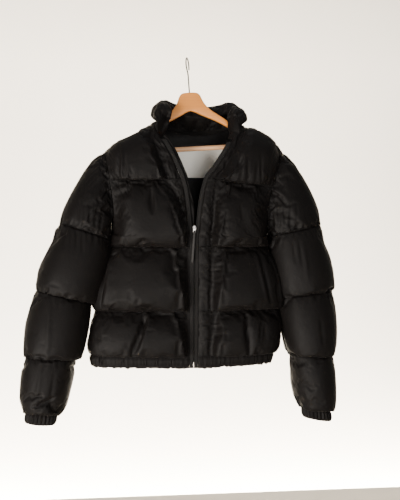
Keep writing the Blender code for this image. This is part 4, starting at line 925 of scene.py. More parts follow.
def front_panel(side, rows):
    """Inner cloth, outer cloth and held points of a front, from the hem to the shoulder and
    towards +X, and how far each point is from the zip, the side and the strip."""
    base_of = front_base(side)
    u, v = np.meshgrid(np.linspace(0, 1, FRONT_COLUMNS + 1), rows)
    base = base_of(u, v)
    along = lengths(base, 1)
    from_edge, to_side = along, along[:, -1:] - along
    if side == "right":
        from_edge, to_side = to_side, from_edge
    t = channel_share(rows)[:, None]
    high = crest(t)
    above = ramp(*UNDERARM_REACH, base[..., 2] - underarm(side))
    strip, = read_table(PLACKET[side], base[..., 2])
    past = from_edge - strip
    full = np.sqrt(ramp(0, PAD_RISE[0] + PAD_RISE[1] * t, past)) * underarm_share(side, base)
    full = full * side_fill(v, to_side, above, SHOULDER_LOSS[side])
    inside = ramp(0, QUIET, from_edge) * ramp(0, QUIET, to_side)
    fold = pressed(base, PRESSED["front_" + side]) * ramp(0, 0.1, high)
    on_strip = np.sin(math.pi * np.clip(from_edge / strip, 0, 1)) ** 0.7
    thick = SEAM_WALL + np.maximum(BODY_PUFF * high * full - fold, 0)
    thick = thick + STRIP_PUFF * on_strip * (0.35 + 0.65 * np.sqrt(high))
    outer = panel_cloth(base_of, base, u, v, thick, to_side, above, full * inside)
    outside = 0 if side == "right" else -1
    for grid in (base, outer):
        grid[0, :, 2] += SEAM_GAP / 2
        grid[-1, :, 1] -= SEAM_GAP / 2
        grid[rows <= UNDERARM_ROW + 1e-6, outside, 1] -= SEAM_GAP / 2
    held = at_seams(t, len(u[0])) | (np.abs(past) < STRIP_HELD)
    return base, outer, held, (from_edge, to_side, past)


def back_panel(rows):
    """The same of the back, from the wearer's left to the right, and how far each point is
    from the nearer side."""
    columns = (2 * SHOULDER_COLUMNS + NECK_COLUMNS) * BACK_FINER
    u, v = np.meshgrid(np.linspace(0, 1, columns + 1), rows)
    base = back_base(u, v)
    along = lengths(base, 1)
    edge = np.minimum(along, along[:, -1:] - along)
    t = channel_share(rows)[:, None]
    foot = np.where(u < 0.5, underarm("left"), underarm("right"))
    above = ramp(*UNDERARM_REACH, base[..., 2] - foot)
    loss = np.interp(u, (0.3, 0.7), (SHOULDER_LOSS["left"], SHOULDER_LOSS["right"]))
    full = side_fill(v, edge, above, loss)
    full = full * underarm_share("right", base) * underarm_share("left", base)
    thick = SEAM_WALL + BACK_PUFF * crest(t) * full
    outer = panel_cloth(back_base, base, u, v, thick, edge, above, full * ramp(0, QUIET, edge))
    on_shoulder = np.abs(u[-1] - 0.5) * columns >= (NECK_COLUMNS / 2 - 0.01) * BACK_FINER
    for grid in (base, outer):
        grid[0, :, 2] += SEAM_GAP / 2
        grid[-1, on_shoulder, 1] += SEAM_GAP / 2
        for outside in (0, -1):
            grid[rows <= UNDERARM_ROW + 1e-6, outside, 1] += SEAM_GAP / 2
    return base, outer, at_seams(t, columns + 1), edge


def seam_fields(outer, starts):
    """Place along the seams, distance up from the seam below and down from the one above;
    starts are the rows of the seams."""
    up = lengths(outer, 0)
    number = np.searchsorted(starts, np.arange(len(outer)), side="right") - 1
    number = np.minimum(number, len(starts) - 2)
    return lengths(outer, 1), up - up[starts[number]], up[starts[number + 1]] - up


def gathered(outer, away_from, fields, borders, strength, seed, closed=False, keep=1.0):
    """Outer cloth with the small folds that its seams and borders draw in."""
    along, below, above = fields
    depth = np.zeros(outer.shape[:2])
    limits = [*np.nonzero(below[:, 0] < 1e-6)[0], len(outer)]
    for number, (low, high) in enumerate(zip(limits[:-1], limits[1:])):
        part = slice(low, high)
        for away, tag, more in ((below, 1, 0.8), (above, 2, 1.0)):
            depth[part] += drawn_in(along[part], away[part], GATHER_SPACING, GATHER_REACH,
                                    GATHER_DEPTH * strength * more, seed + 17 * number + tag)
    for number, (place, away, spacing, reach, deep) in enumerate(borders):
        depth += drawn_in(place, away, spacing, reach, deep, seed + 301 + number)
    depth = depth * ramp(0, 3.5, np.minimum(below, above)) * keep
    return outer - grid_normals(outer, away_from, closed) * depth[..., None]


def creased(name, smooth, away_from, fields, share, closed=False):
    """Outer cloth with a piece's finer creases pressed into it."""
    depth = pressed(smooth, FOLDS[name]) * share * ramp(0, 14, np.minimum(*fields[1:]))
    return smooth - grid_normals(smooth, away_from, closed) * depth[..., None]


def make_front(side, rows):
    base, start, held, spans = front_panel(side, rows)
    name = "front_" + side
    calm = ramp(2, 40, spans[1]) * np.where(spans[2] < 6, PLACKET_CALM[side], 1)
    outer = settled(name, start, held, slack=0.045, cap=7.5, loose=0.3 + 0.7 * calm)
    seams = seam_rows(rows)
    smooth, inner = finer(outer, seams), finer(base, seams)
    fields = seam_fields(smooth, 2 * seams)
    from_edge, to_side, past = (finer(span[..., None], seams)[..., 0] for span in spans)
    up = lengths(smooth, 0)
    inside = ramp(0, 5, from_edge) * ramp(0, 5, to_side)
    # Off its own side of the strip's edge each kind of fold is too far away to show.
    borders = ((up, np.maximum(to_side, 0), *SIDE_FOLDS),
               (up, np.where(past < 0, 40, past), *PAST_FOLDS),
               (up, np.where(past < 0, -past, 60), *STRIP_FOLDS))
    smooth = gathered(smooth, inner, fields, borders, 1.0, SEEDS[name], keep=inside)
    smooth = creased(name, smooth, inner, fields, inside)
    padded_shell(name, smooth, base, fields)
    return base, start, smooth


def make_back(rows):
    base, start, held, edge = back_panel(rows)
    # Its two halves match, so the cloth would buckle in one straight line down the middle.
    off_middle = np.linspace(-1, 1, base.shape[1])
    calm = 1 - 0.85 * np.exp(-(off_middle / MIDDLE_CALM) ** 2)
    outer = settled("back", start, held, slack=0.045, cap=7.5, loose=calm)
    seams = seam_rows(rows)
    smooth, inner = finer(outer, seams), finer(base, seams)
    fields = seam_fields(smooth, 2 * seams)
    edge = finer(edge[..., None], seams)[..., 0]
    borders = ((lengths(smooth, 0), np.maximum(edge, 0), *BACK_FOLDS),)
    smooth = gathered(smooth, inner, fields, borders, 1.0, SEEDS["back"], keep=ramp(0, 5, edge))
    padded_shell("back", smooth, base, fields)
    return base, start, smooth


# --- sleeves ------------------------------------------------------------------------------
def armhole_loop(side, fronts, back, rows):
    """Points of the armhole, moved out by the lean of the body's wall, spaced evenly from the
    underarm up the front to the shoulder and down the back."""
    above = np.nonzero(rows >= UNDERARM_ROW - 1e-6)[0]
    outside, behind, sign = (0, -1, -1) if side == "right" else (-1, 0, 1)
    loop, outer = (np.concatenate([front[above, outside], rear[above[-2:0:-1], behind]])
                   for front, rear in zip(fronts[side][:2], back[:2]))
    lean = np.maximum((outer - loop)[:, 0] * sign, 0)
    loop[0, 1] = loop[len(above) - 1, 1] = 0
    for _ in range(LEAN_ROUNDS):
        lean = np.maximum(lean, np.maximum(np.roll(lean, 1), np.roll(lean, -1)) * LEAN_KEPT)
    low = FOOT_GAP * (1 - ramp(5, 40, loop[:, 2] - loop[0, 2]))
    loop[:, 0] += sign * (lean + SEAM_GAP + low)
    ring = np.concatenate([loop, loop[:1]])
    at = reached(ring)
    top = int(np.argmax(loop[:, 2]))
    turn = np.where(np.arange(len(ring)) <= top, at * math.pi / at[top],
                    math.pi + (at - at[top]) * math.pi / (at[-1] - at[top]))
    wanted = np.arange(SLEEVE_ROUND) * 2 * math.pi / SLEEVE_ROUND
    return read_line(ring, turn, wanted), wanted


def sleeve_ring(side, place, turn):
    """Inner cloth of a sleeve at a place along its seams, 1 to 4."""
    rows = SLEEVE_RINGS[side]
    seams = np.arange(1, len(rows) + 1)
    late = np.where(place > 3, 3 + np.abs(place - 3) ** 1.5, place)
    x, y, z, half, half_y, droop = (follow(seams, column(rows, k), late if 2 < k < 5 else place)
                                    for k in range(6))
    tilt = np.radians(droop)
    inward = np.cos(turn) * half
    return points(x - SIGN[side] * np.cos(tilt) * inward, y - half_y * np.sin(turn),
                  z - np.sin(tilt) * inward)


def sleeve_base(side, loop, turn):
    """Inner cloth of a sleeve, with the channel and the share down it of each row."""
    first = sleeve_ring(side, 1.0, turn)
    down = unit(sleeve_ring(side, 1.02, turn) - first)
    reach = np.linalg.norm(first - loop, axis=1, keepdims=True)
    leave = unit(np.array((SIGN[side], 0, 0)) + CAP_DROP * unit(first - loop))
    steps = 1 - channel_steps(SLEEVE_PUFF)[::-1]
    grid = [(1 + 2 * s) * (1 - s) ** 2 * loop + s * (1 - s) ** 2 * leave * reach * CAP_PULL
            + s * s * (3 - 2 * s) * first + s * s * (s - 1) * down * reach for s in steps]
    channel, share = [0] * len(steps), list(steps)
    for k in range(1, len(SLEEVE_RINGS[side])):
        grid += [sleeve_ring(side, k + s, turn) for s in steps[1:]]
        channel += [k] * CHANNEL_COUNT
        share += list(steps[1:])
    return np.array(grid), np.array(channel), np.array(share), reach[:, 0]


def sleeve_panel(side, loop, turn):
    """Inner cloth, outer cloth and share up its channel of each row of a sleeve, from the
    armhole to the cuff."""
    base, channel, share, reach = sleeve_base(side, loop, turn)
    t = 1 - share[:, None]
    centre = base.mean(1, keepdims=True)
    normal = grid_normals(base, centre, closed=True)
    radial = np.cross(np.roll(loop, -1, 0) - np.roll(loop, 1, 0), (SIGN[side], 0, 0))
    radial[:, 0] = 0
    radial = unit(radial)
    if np.sum(radial * (loop - loop.mean(0))) < 0:
        radial = -radial
    start = 1 - ramp(0, 45, lengths(base, 0))[..., None]
    direction = unit(normal * (1 - start) + radial * start)
    direction[-1] = unit(base[-1] - centre[-1])
    at_side = np.where(np.cos(turn) > 0, np.array(SLEEVE_INSIDE[side])[channel][:, None],
                       np.array(SLEEVE_OUTSIDE)[channel][:, None])
    room = np.where(channel == 0, 1, 0)[:, None] * np.clip(1 - reach / 120, 0, 1)
    full = (at_side + (1 - at_side) * np.abs(np.sin(turn)) ** 1.2) * (1 - room)
    high = np.where(channel[:, None] == 3, crest(t ** 0.62), crest(t))
    bulge = np.where(channel == 0, CAP_FILL, 1)[:, None] * high * SLEEVE_PUFF
    outer = base + direction * (SEAM_WALL + bulge * full)[..., None]
    above = np.maximum(base[..., 2] - base[(channel + 1) * CHANNEL_COUNT][..., 2], 0)
    outer = hung_over(outer, t, full * (channel < 3)[:, None], above)
    return base, outer, t[:, 0]


def make_sleeve(side, fronts, back, rows):
    loop, turn = armhole_loop(side, fronts, back, rows)
    base, start, t = sleeve_panel(side, loop, turn)
    seams = np.append(0, np.nonzero(t < 1e-6)[0])
    held = np.zeros(base.shape[:2], bool)
    held[seams] = True
    name = "sleeve_" + side
    outer = settled(name, start, held, closed=True, slack=0.055, cap=7.0)
    smooth, inner = finer(outer, seams, closed=True), finer(base, seams, closed=True)
    middle = inner.mean(1, keepdims=True)
    fields = seam_fields(smooth, 2 * seams)
    smooth = gathered(smooth, middle, fields, (), 1.45, SEEDS[name], closed=True)
    in_front = smooth[..., 1] < middle[..., 1]
    smooth = creased(name, smooth, middle, fields, in_front, closed=True)
    padded_shell(name, smooth, base, fields, closed=True)
    return smooth


def around(values, turn):
    """Values at even places round a ring, read between them; the last joins the first."""
    places = np.linspace(0, 2 * math.pi, len(values) + 1)
    return np.interp(turn, places, np.append(values, values[0]))


def make_cuff(side):
    """Elastic cuff, fluted all round, just below the sleeve."""
    place = len(SLEEVE_RINGS[side])
    count = CUFF_FLUTES * 10
    turn = np.linspace(0, 2 * math.pi, count, endpoint=False)
    top = sleeve_ring(side, place, turn)
    down = unit((top - sleeve_ring(side, place - 0.05, turn)).mean(0))
    out = unit(top - top.mean(0))
    square = unit(np.cross(out[count // 4], out[0]))
    square = square * -np.sign(square[2])
    dice = np.random.default_rng(SEEDS["cuff_" + side])
    wander = around(dice.normal(0, 0.5, 12), turn)
    deep = around(dice.uniform(0.7, 1.3, 16), turn)
    wave = np.cos(CUFF_FLUTES * turn + wander)
    flute = CUFF_FLUTE * deep * (np.abs(wave) ** 0.8 * np.sign(wave))
    inner, outer = [], []
    for share in np.linspace(0, 1, 15):
        narrow, thick = (float(np.interp(share, column(CUFF_ROWS, 0), column(CUFF_ROWS, k)))
                         for k in (1, 2))
        thick += 0.9 * math.sin(math.pi * share)
        line = top + square * SEAM_GAP + down * CUFF_LENGTH * share
        swell = math.sin(math.pi * min(max(share, 0.10), 0.90)) ** 0.6
        inner.append(line - out * (narrow - 0.4 * flute * swell)[:, None])
        outer.append(line + out * (thick - narrow + flute * swell)[:, None])
    cloth_wall("elastic_cuff_" + side, "cuff_" + side, np.array(inner), np.array(outer), BAND,
               closed=True)


# --- collar -------------------------------------------------------------------------------
def neckline(fronts, back, layer, rows):
    """Points of the neckline, from the right front's end round the back to the left."""
    used = np.nonzero(rows >= SHOULDER_ROW - 1 + COLLAR_END - 0.07)[0][:-1]
    right, left = fronts["right"][layer], fronts["left"][layer]
    first = SHOULDER_COLUMNS * BACK_FINER
    last = (SHOULDER_COLUMNS + NECK_COLUMNS) * BACK_FINER
    path = [right[r, -1] for r in used]
    path += [back[layer][-1, c] for c in range(last, first - 1, -1)]
    path += [left[r, 0] for r in used[::-1]]
    return np.array(path)


def evenly(path, other, step):
    """Both paths resampled at even steps along the first."""
    reach = reached(path)
    wanted = np.linspace(0, reach[-1], int(round(reach[-1] / step)) + 1)
    return read_line(path, reach, wanted), read_line(other, reach, wanted), wanted


def collar_rings(path, cloth, reach):
    """Rings of the collar's outer cloth along the neckline, and the points' heights."""
    tangent = np.gradient(path, axis=0)
    tangent[..., 2] = 0
    tangent = unit(smoothed(unit(tangent)[:, None, :], 4, closed=True)[:, 0])
    out = np.stack([-tangent[:, 1], tangent[:, 0], np.zeros(len(path))], -1)
    if np.sum(out * (path - path.mean(0))) < 0:
        out = -out
    wall = SEAM_GAP + np.maximum(-np.sum((cloth - path) * out, axis=1), 0)
    share = (reach / reach[-1])[:, None]
    ends = np.minimum(share, 1 - share)
    tall = COLLAR_HEIGHT[0] + (COLLAR_HEIGHT[1] - COLLAR_HEIGHT[0]) * ramp(0.1, 0.42, ends)
    slim = 0.90 + 0.10 * ramp(0, 0.08, ends)
    lean_out = (COLLAR_LEAN[0] * (1 - ramp(0.10, 0.22, 1 - share))
                + COLLAR_LEAN[1] * (1 - ramp(0.0, 0.05, 1 - share)))
    at_end, ring = (along_curve(table + table[:1], COLLAR_ROUND, endpoint=False)
                    for table in (COLLAR_END_SECTION, COLLAR_SECTION))
    shape = ring + (at_end - ring) * (1 - ramp(0.04, 0.16, ends))[..., None]
    wave = (1.3 * np.sin(reach / 11.0) + 0.9 * np.sin(reach / 6.1 + 1))[:, None]
    soft = wave * (ramp(6, 22, ring[:, 1]) * (1 - ramp(44, 56, ring[:, 1])))
    sideways = COLLAR_MIDDLE + (shape[..., 0] - COLLAR_MIDDLE) * slim + soft
    rings = path[:, None, :] + out[:, None, :] * (sideways - wall[:, None])[..., None]
    rings[..., 0] += lean_out * ramp(4, 20, shape[..., 1])
    rings[..., 2] += shape[..., 1] / COLLAR_SECTION_TOP * tall
    return rings, ring[:, 1]


def end_caps(rings):
    """Points and faces of a rounded cap on each end: rings that draw in to the middle."""
    columns = rings.shape[1]
    count = rings[..., 0].size
    vertices, faces = [], []
    for end, beside in ((0, 1), (-1, -2)):
        centre = rings[end].mean(0)
        forward = unit(centre - rings[beside].mean(0))
        rim = np.arange(columns) if end == 0 else np.arange(columns) + rings[..., 0].size - columns
        for draw, bulge in CAP_RINGS:
            vertices.append(centre + (rings[end] - centre) * draw + forward * bulge)
            cap = count + np.arange(columns)
            faces += np.stack([rim, np.roll(rim, -1), np.roll(cap, -1), cap], -1).tolist()
            rim = cap
            count += columns
        faces.append(rim.tolist())
    return np.concatenate(vertices), faces


def make_collar(fronts, back, rows):
    """Padded stand collar: one closed section swept along the neckline."""
    path, cloth, reach = evenly(neckline(fronts, back, 0, rows), neckline(fronts, back, 1, rows),
                                COLLAR_STEP)
    rings, height = collar_rings(path, cloth, reach)
    held = np.zeros(rings.shape[:2], bool)
    held[0] = held[-1] = True
    held[:, (height < COLLAR_FOOT) | (np.abs(height - COLLAR_CREST) < 0.7)] = True
    outer = settled("collar", rings, held, closed=True, slack=0.05, cap=5.0, calm=0.7)
    smooth = finer(outer, [0, len(outer) - 1], closed=True)
    along, up = np.meshgrid(
        np.interp(np.arange(len(smooth)) / 2, np.arange(len(reach)), reach),
        np.interp(np.arange(2 * COLLAR_ROUND) / 2, np.arange(COLLAR_ROUND + 1),
                  np.append(height, height[0])), indexing="ij")
    depth = drawn_in(along, np.maximum(up - COLLAR_FOOT, 0), *COLLAR_FOLDS[0], 91)
    depth += drawn_in(along, np.maximum(COLLAR_CREST - 0.5 - up, 0), *COLLAR_FOLDS[1], 92)
    for place in (along, along.max() - along):
        depth += 0.7 * np.exp(-((place - 13) / 5) ** 2)
    depth *= ramp(0, 6, np.minimum(along, along.max() - along))
    normal = grid_normals(smooth, smooth.mean(1, keepdims=True), closed=True)
    smooth = smooth - normal * depth[..., None]
    caps, cap_faces = end_caps(smooth)
    piece = add_object("cloth_collar", np.concatenate([smooth.reshape(-1, 3), caps]),
                       grid_faces(*up.shape, closed=True) + cap_faces)
    mesh = piece.data
    turn_outwards(mesh)
    mesh.shade_smooth()
    columns = up.shape[1]
    girth = reached(np.array(COLLAR_SECTION + COLLAR_SECTION[:1], float))[-1]
    lay_uv(mesh, np.tile(np.arange(columns) / columns * girth, len(up) + 2 * len(CAP_RINGS)),
           np.repeat([*along[:, 0], *CAP_LENGTHS, *CAP_LENGTHS], columns), girth)
    # Near the collar's foot seam: its puckers and painted shade.
    near = np.exp(-np.maximum(up - 4, 0) / SEAM_NEAR)
    keep_number(mesh, "near_seam", np.append(near, np.full(len(caps), BAND_NEAR)))
    dress(piece, "collar", (SHELL,))


# --- bands and strips ---------------------------------------------------------------------
def make_hem(name, base_of, wide, seed, cut):
    """Gathered band below the body's lowest seam, made from the same sections."""
    share = np.linspace(0, 1, 13)[:, None]
    u, v = np.meshgrid(np.linspace(0, 1, int(wide / HEM_STEP) + 1), -share * HEM_LENGTH / HEM_ROW)
    base = base_of(u, v)
    normal = steepness(base_of, u, v)
    along = lengths(base, 1)
    thick = np.interp(share, column(HEM_ROWS, 0), column(HEM_ROWS, 1))
    dice = np.random.default_rng(seed)
    place = np.linspace(0, along.max(), 60)
    wander = np.interp(along, place, np.cumsum(dice.normal(0, 2.6, 60)))
    deep = np.interp(along, place, dice.uniform(0.1, 1.5, 60))
    gather = np.cos((along + wander) / HEM_FLUTE * 2 * math.pi)
    finer_wave = np.cos((along * 1.7 - wander) / HEM_FLUTE * 2 * math.pi + 1)
    swell = np.sin(math.pi * np.clip(share, 0.08, 0.92)) ** 0.7
    lumps = (HEM_WAVE * deep * gather + 0.35 * finer_wave) * swell
    thick = thick + lumps + 1.1 * np.sin(math.pi * share)
    sag = 1.6 * np.interp(along, place, dice.normal(0, 0.7, 60)) * share ** 2
    ends = ramp(0, 6, np.minimum(along, along[:, -1:] - along))
    outer = base + normal * (thick * (0.75 + 0.25 * ends))[..., None]
    inner = base + normal * (0.25 * lumps)[..., None]
    for grid in (inner, outer):
        grid[..., 2] -= sag * ends
        grid[0, :, 2] -= SEAM_GAP / 2
        grid[:, 0, 1] += cut[0] * SEAM_GAP / 2
        grid[:, -1, 1] += cut[1] * SEAM_GAP / 2
    cloth_wall("hem_band_" + name, "hem_" + name, inner[::-1], outer[::-1], BAND)


def ribbon(name, node, path, half_width, half_thick, finish, across=7,
           ripple=None):
    """Flat strip along a path, its width along X, with rounded edges."""
    face = unit(np.cross((1.0, 0, 0), unit(np.gradient(path, axis=0))))[:, None, :]
    places = np.sin(np.linspace(-math.pi / 2, math.pi / 2, across))
    thin = np.maximum(np.sqrt(np.clip(1 - np.abs(places) ** 6, 0, 1)), 0.15)
    grid = points(path[:, None, 0] + places * half_width[:, None], path[:, None, 1],
                  path[:, None, 2])
    if ripple:
        grid = grid - face * ripple(path, places)[..., None]
    lift = face * (thin * half_thick)[:, None]
    cloth_wall(name, node, grid + lift, grid - lift, finish)


def edge_path(side, rows):
    base_of = front_base(side)
    return base_of(np.full(len(rows), 1.0 if side == "right" else 0.0), rows)


def zip_rows(rows):
    below = -HEM_LENGTH / HEM_ROW * np.linspace(1, 0.05, 12)
    return np.concatenate([below, rows[rows <= SHOULDER_ROW - 1 + COLLAR_END - 0.05]])


def tape_width(edge):
    """Width of a tape along X, wider where its front's edge slants."""
    slant = np.gradient(edge[:, 0]) / np.maximum(np.abs(np.gradient(edge[:, 2])), 1e-6)
    return TAPE_WIDTH * np.sqrt(1 + np.minimum(slant ** 2, 1.4))


def tape_middle(side, sign, rows):
    """Middle line and width of a zip tape."""
    edge = edge_path(side, zip_rows(rows))
    wide = np.where(edge[:, 2] < ZIP_SPREAD - 14, TAPE_WIDTH, tape_width(edge))
    wide = smoothed(wide[:, None], 3, closed=True)[:, 0]
    return edge + points(sign * (wide / 2 + SEAM_GAP), -TAPE_FORWARD, 0), wide


def joined_copies(name, model, places, finish):
    """One piece of many copies of a model mesh, each placed by a matrix in metres."""
    corners = np.array([(*corner.co, 1) for corner in model.vertices])
    sides = [list(face.vertices) for face in model.polygons]
    vertices = [(corners @ place.T)[:, :3] for place in places]
    faces = [[k + shift for k in side] for shift in range(0, len(corners) * len(places), len(corners))
             for side in sides]
    piece = add_object(name, np.concatenate(vertices), faces, scale=1)
    piece.data.shade_smooth()
    dress(piece, None, (finish,))


def fresh():
    """Deselect everything before a primitive is added."""
    if bpy.context.object and bpy.context.object.mode != "OBJECT":
        bpy.ops.object.mode_set(mode="OBJECT")
    bpy.ops.object.select_all(action="DESELECT")


def taken(name):
    """The active object's mesh, its object removed."""
    piece = bpy.context.object
    mesh = piece.data
    mesh.name = name
    bpy.data.objects.remove(piece, do_unlink=True)
    return mesh


def frames_along(path, facing, spacing, start=0.0):
    """Matrices evenly spaced along a path in millimetres: X runs along it, Z faces out."""
    reach = reached(path)
    wanted = np.arange(start + spacing / 2, reach[-1] - spacing / 4, spacing)
    along = unit(read_line(path, reach, wanted + 0.5) - read_line(path, reach, wanted - 0.5))
    out = read_line(np.broadcast_to(facing, path.shape), reach, wanted)
    out = unit(out - along * np.sum(out * along, -1, keepdims=True))
    places = np.zeros((len(wanted), 4, 4))
    places[:, :3] = np.stack([along, np.cross(out, along), out,
                              read_line(path, reach, wanted) * MM], -1)
    places[:, 3, 3] = 1
    return list(places)


def added(primitive, **settings):
    """A new primitive, its place and turn worked into its mesh."""
    fresh()
    primitive(**settings)
    bpy.ops.object.transform_apply(location=True, rotation=True, scale=True)
    return bpy.context.object


def worked(*steps):
    """Run mesh operators on the whole of the active mesh."""
    bpy.ops.object.mode_set(mode="EDIT")
    bpy.ops.mesh.select_all(action="SELECT")
    for operator, settings in steps:
        operator(**settings)
    bpy.ops.object.mode_set(mode="OBJECT")


def joined(piece, *others):
    """Join other objects to a piece."""
    fresh()
    for part in (piece, *others):
        part.select_set(True)
    bpy.context.view_layer.objects.active = piece
    bpy.ops.object.join()


def stitch_model():
    """One stitch of thread, 2.6 mm long, slightly sunk at both ends."""
    added(bpy.ops.mesh.primitive_cylinder_add, vertices=6, radius=0.00028, depth=0.0026,
          end_fill_type="NOTHING", rotation=ALONG_X)
    worked((bpy.ops.mesh.subdivide, {"number_cuts": 2}))
    mesh = taken("stitch")
    for corner in mesh.vertices:
        share = abs(corner.co.x) / 0.0013
        corner.co.z += 0.00018 - 0.00045 * share ** 3
        corner.co.y *= 1 - 0.35 * share ** 4
    return mesh


def tooth_model():
    """One turn of a fine coil zip."""
    added(bpy.ops.mesh.primitive_uv_sphere_add, segments=8, ring_count=6, radius=0.001)
    worked((bpy.ops.transform.resize, {"value": (0.55, 1.35, 0.62)}))
    return taken("tooth")


def make_zip(rows):
    """Two woven tapes with a fine coil along each, closed below the slider."""
    tooth = tooth_model()
    for side, sign, phase in (("right", 1, 0.0), ("left", -1, 0.7)):
        middle, wide = tape_middle(side, sign, rows)
        ribbon("woven_tape_" + side, "zip_tape_" + side, middle, wide / 2, TAPE_WALL / 2, TAPE)
        coil = middle + points(sign * (wide / 2 - COIL_INSET), -(TAPE_WALL / 2 + 0.15), 0)
        joined_copies("coil_" + side, tooth,
                      frames_along(coil, FORWARD, COIL_PITCH, start=phase), COIL)


def make_guard():
    """Soft flap behind the open zip, where it shows beside the right front's teeth."""
    rows = np.concatenate([np.linspace(2.32, 3, 60), 3 + np.linspace(0.03, COLLAR_END - 0.02, 26)])
    edge = edge_path("right", rows)
    start = edge[:, 0] + tape_width(edge) + 3 * SEAM_GAP
    end = np.maximum(read_table(GUARD_EDGE, edge[:, 2])[0], start + 3)
    path = points((start + end) / 2, edge[:, 1] + 1.0, edge[:, 2])

    def ripple(line, places):
        along = lengths(line[:, None, :], 0)
        return 0.9 * np.sin(along / 9 + 2 * places) * (1 - places ** 2) + 0.6 * np.sin(
            along / 4.3 + 1.3) * np.clip(places + 0.4, 0, 1) * (1 - ramp(0.8, 1, places))

    ribbon("cloth_guard", "zip_guard", path, (end - start) / 2, 1.4, SHELL,
           across=17, ripple=ripple)


def on_back(x, z):
    """Points of the back's inner cloth straight behind the given X and height."""
    u = np.full(np.shape(x), 0.5)
    row = np.full(np.shape(x), 3.4)
    step = 1e-3
    for _ in range(12):
        here = back_base(u, row)
        by_u = (back_base(u + step, row) - here) / step
        by_row = (back_base(u, row + step) - here) / step
        miss_x, miss_z = x - here[..., 0], z - here[..., 2]
        size = by_u[..., 0] * by_row[..., 2] - by_row[..., 0] * by_u[..., 2]
        u = u + (miss_x * by_row[..., 2] - miss_z * by_row[..., 0]) / size
        row = row + (miss_z * by_u[..., 0] - miss_x * by_u[..., 2]) / size
    return back_base(u, row)


def make_label():
    """Bare woven label inside the back of the neck, stitched all round."""
    wide, tall = LABEL_SIZE
    x, z = np.meshgrid(np.linspace(LABEL_MIDDLE - wide / 2, LABEL_MIDDLE + wide / 2, 77),
                       np.linspace(LABEL_TOP - tall, LABEL_TOP, 43))
    swell = 0.5 * np.sin((x - NECK_CENTRE) / 19 + 1) * np.sin((z - LABEL_TOP) / 23)
    back = on_back(x, z) + FORWARD * (LABEL_OFF + 0.4 * (swell[..., None] + 0.5))
    front = back + FORWARD * LABEL_WALL
    cloth_wall("woven_label", "neck_label", back, front, LABEL)
    places = []
    for path in (front[-3], front[2], front[:, 2], front[:, -3]):
        places += frames_along(path, FORWARD, 3.0, start=1.8)
    joined_copies("label_stitches", stitch_model(), places, PALE_THREAD)


def make_welt(side, outer, rows):
    """Pocket welt, laid on the front's own cloth; gives back the places of its stitches."""
    fine = np.interp(np.arange(len(outer)) / 2, np.arange(len(rows)), rows)
    used = np.nonzero((fine >= WELT_ROWS[0] - 1e-6) & (fine <= WELT_ROWS[1] + 1e-6))[0]
    low, high = WELT_SHARE if side == "right" else (1 - WELT_SHARE[1], 1 - WELT_SHARE[0])
    calm = smoothed(outer, 3)
    at = np.linspace(low, high, 13) * (outer.shape[1] - 1)
    left = np.floor(at).astype(int)
    mix = (at - left)[None, :, None]
    normal = grid_normals(calm, calm - 200.0 * FORWARD)
    pick = calm[used][:, left] * (1 - mix) + calm[used][:, left + 1] * mix
    face = unit(normal[used][:, left])
    sides = np.sqrt(np.clip(1 - np.linspace(-1, 1, 13) ** 6, 0.02, 1))[None, :, None]
    ends = np.sqrt(np.clip(1 - np.linspace(-1, 1, len(used)) ** 14, 0.02, 1))[:, None, None]
    top = pick + face * (WELT_WALL * sides * ends + 0.3)
    cloth_wall("pocket_band_" + side, "pocket_welt_" + side, pick - face * 0.5, top, SHELL)
    places = []
    for c in (2, -3):
        places += frames_along(top[2:-2, c], face[2:-2, c], STITCH_PITCH)
    for r in (3, -4):
        places += frames_along(top[r, 2:-2], face[r, 2:-2], STITCH_PITCH)
    return places


# --- hanger and metal ---------------------------------------------------------------------
def hang(out, forward, down):
    """Point of the hanger, tilted about the hook's rest on the rail."""
    tilt = math.radians(HANGER_TILT)
    return np.array((out * math.cos(tilt) + down * math.sin(tilt), forward,
                     out * math.sin(tilt) - down * math.cos(tilt)))


def bevelled(piece, width, segments, angle):
    """Round a piece's edges that turn by more than the angle."""
    modifier = piece.modifiers.new("rounded edges", "BEVEL")
    modifier.width = width * MM
    modifier.segments = segments
    modifier.limit_method = "ANGLE"
    modifier.angle_limit = math.radians(angle)
    bpy.context.view_layer.objects.active = piece
    bpy.ops.object.modifier_apply(modifier=modifier.name)


def placed(mesh, matrix):
    """Move a mesh's points by a function of their millimetres."""
    for corner in mesh.vertices:
        corner.co = [v * MM for v in matrix(*(c / MM for c in corner.co))]


def outlined(name, corners):
    """A new flat piece with these corners, in millimetres."""
    piece = added(bpy.ops.mesh.primitive_circle_add, vertices=len(corners), radius=0.1,
                  fill_type="NGON")
    piece.name = name
    for corner, place in zip(piece.data.vertices, corners):
        corner.co = [v * MM for v in place]
    return piece


def pulled_out(move):
    """Step for worked(): extrude by so many millimetres."""
    return (bpy.ops.mesh.extrude_region_move,
            {"TRANSFORM_OT_translate": {"value": [v * MM for v in move]}})


def smoothed_edges(angle=40):
    """Shade the active piece smooth, sharp only where it turns by more than the angle."""
    bpy.ops.object.shade_smooth_by_angle(angle=math.radians(angle))


def make_yoke():
    """Wooden hanger cut from a board, its outline curved and all its edges rounded."""
    half = np.concatenate([along_curve(HANGER_TOP, 46),
                           along_curve((HANGER_TOP[-1],) + HANGER_UNDER[:3], 8)[1:-1],
                           along_curve(HANGER_UNDER[2:] + ((0, HANGER_APEX),), 40)])
    outline = np.concatenate([half, (half * (-1, 1))[-2:0:-1]])
    piece = outlined("wooden_hanger", [(*corner, -HANGER_THICKNESS / 2) for corner in outline])
    worked(pulled_out((0, 0, HANGER_THICKNESS)))
    bevelled(piece, HANGER_ROUND, 4, 60)
    placed(piece.data, lambda x, y, z: hang(x, z, HANGER_DOWN + y))
    turn_outwards(piece.data)
    smoothed_edges(35)
    dress(piece, "hanger_yoke", (WOOD,))


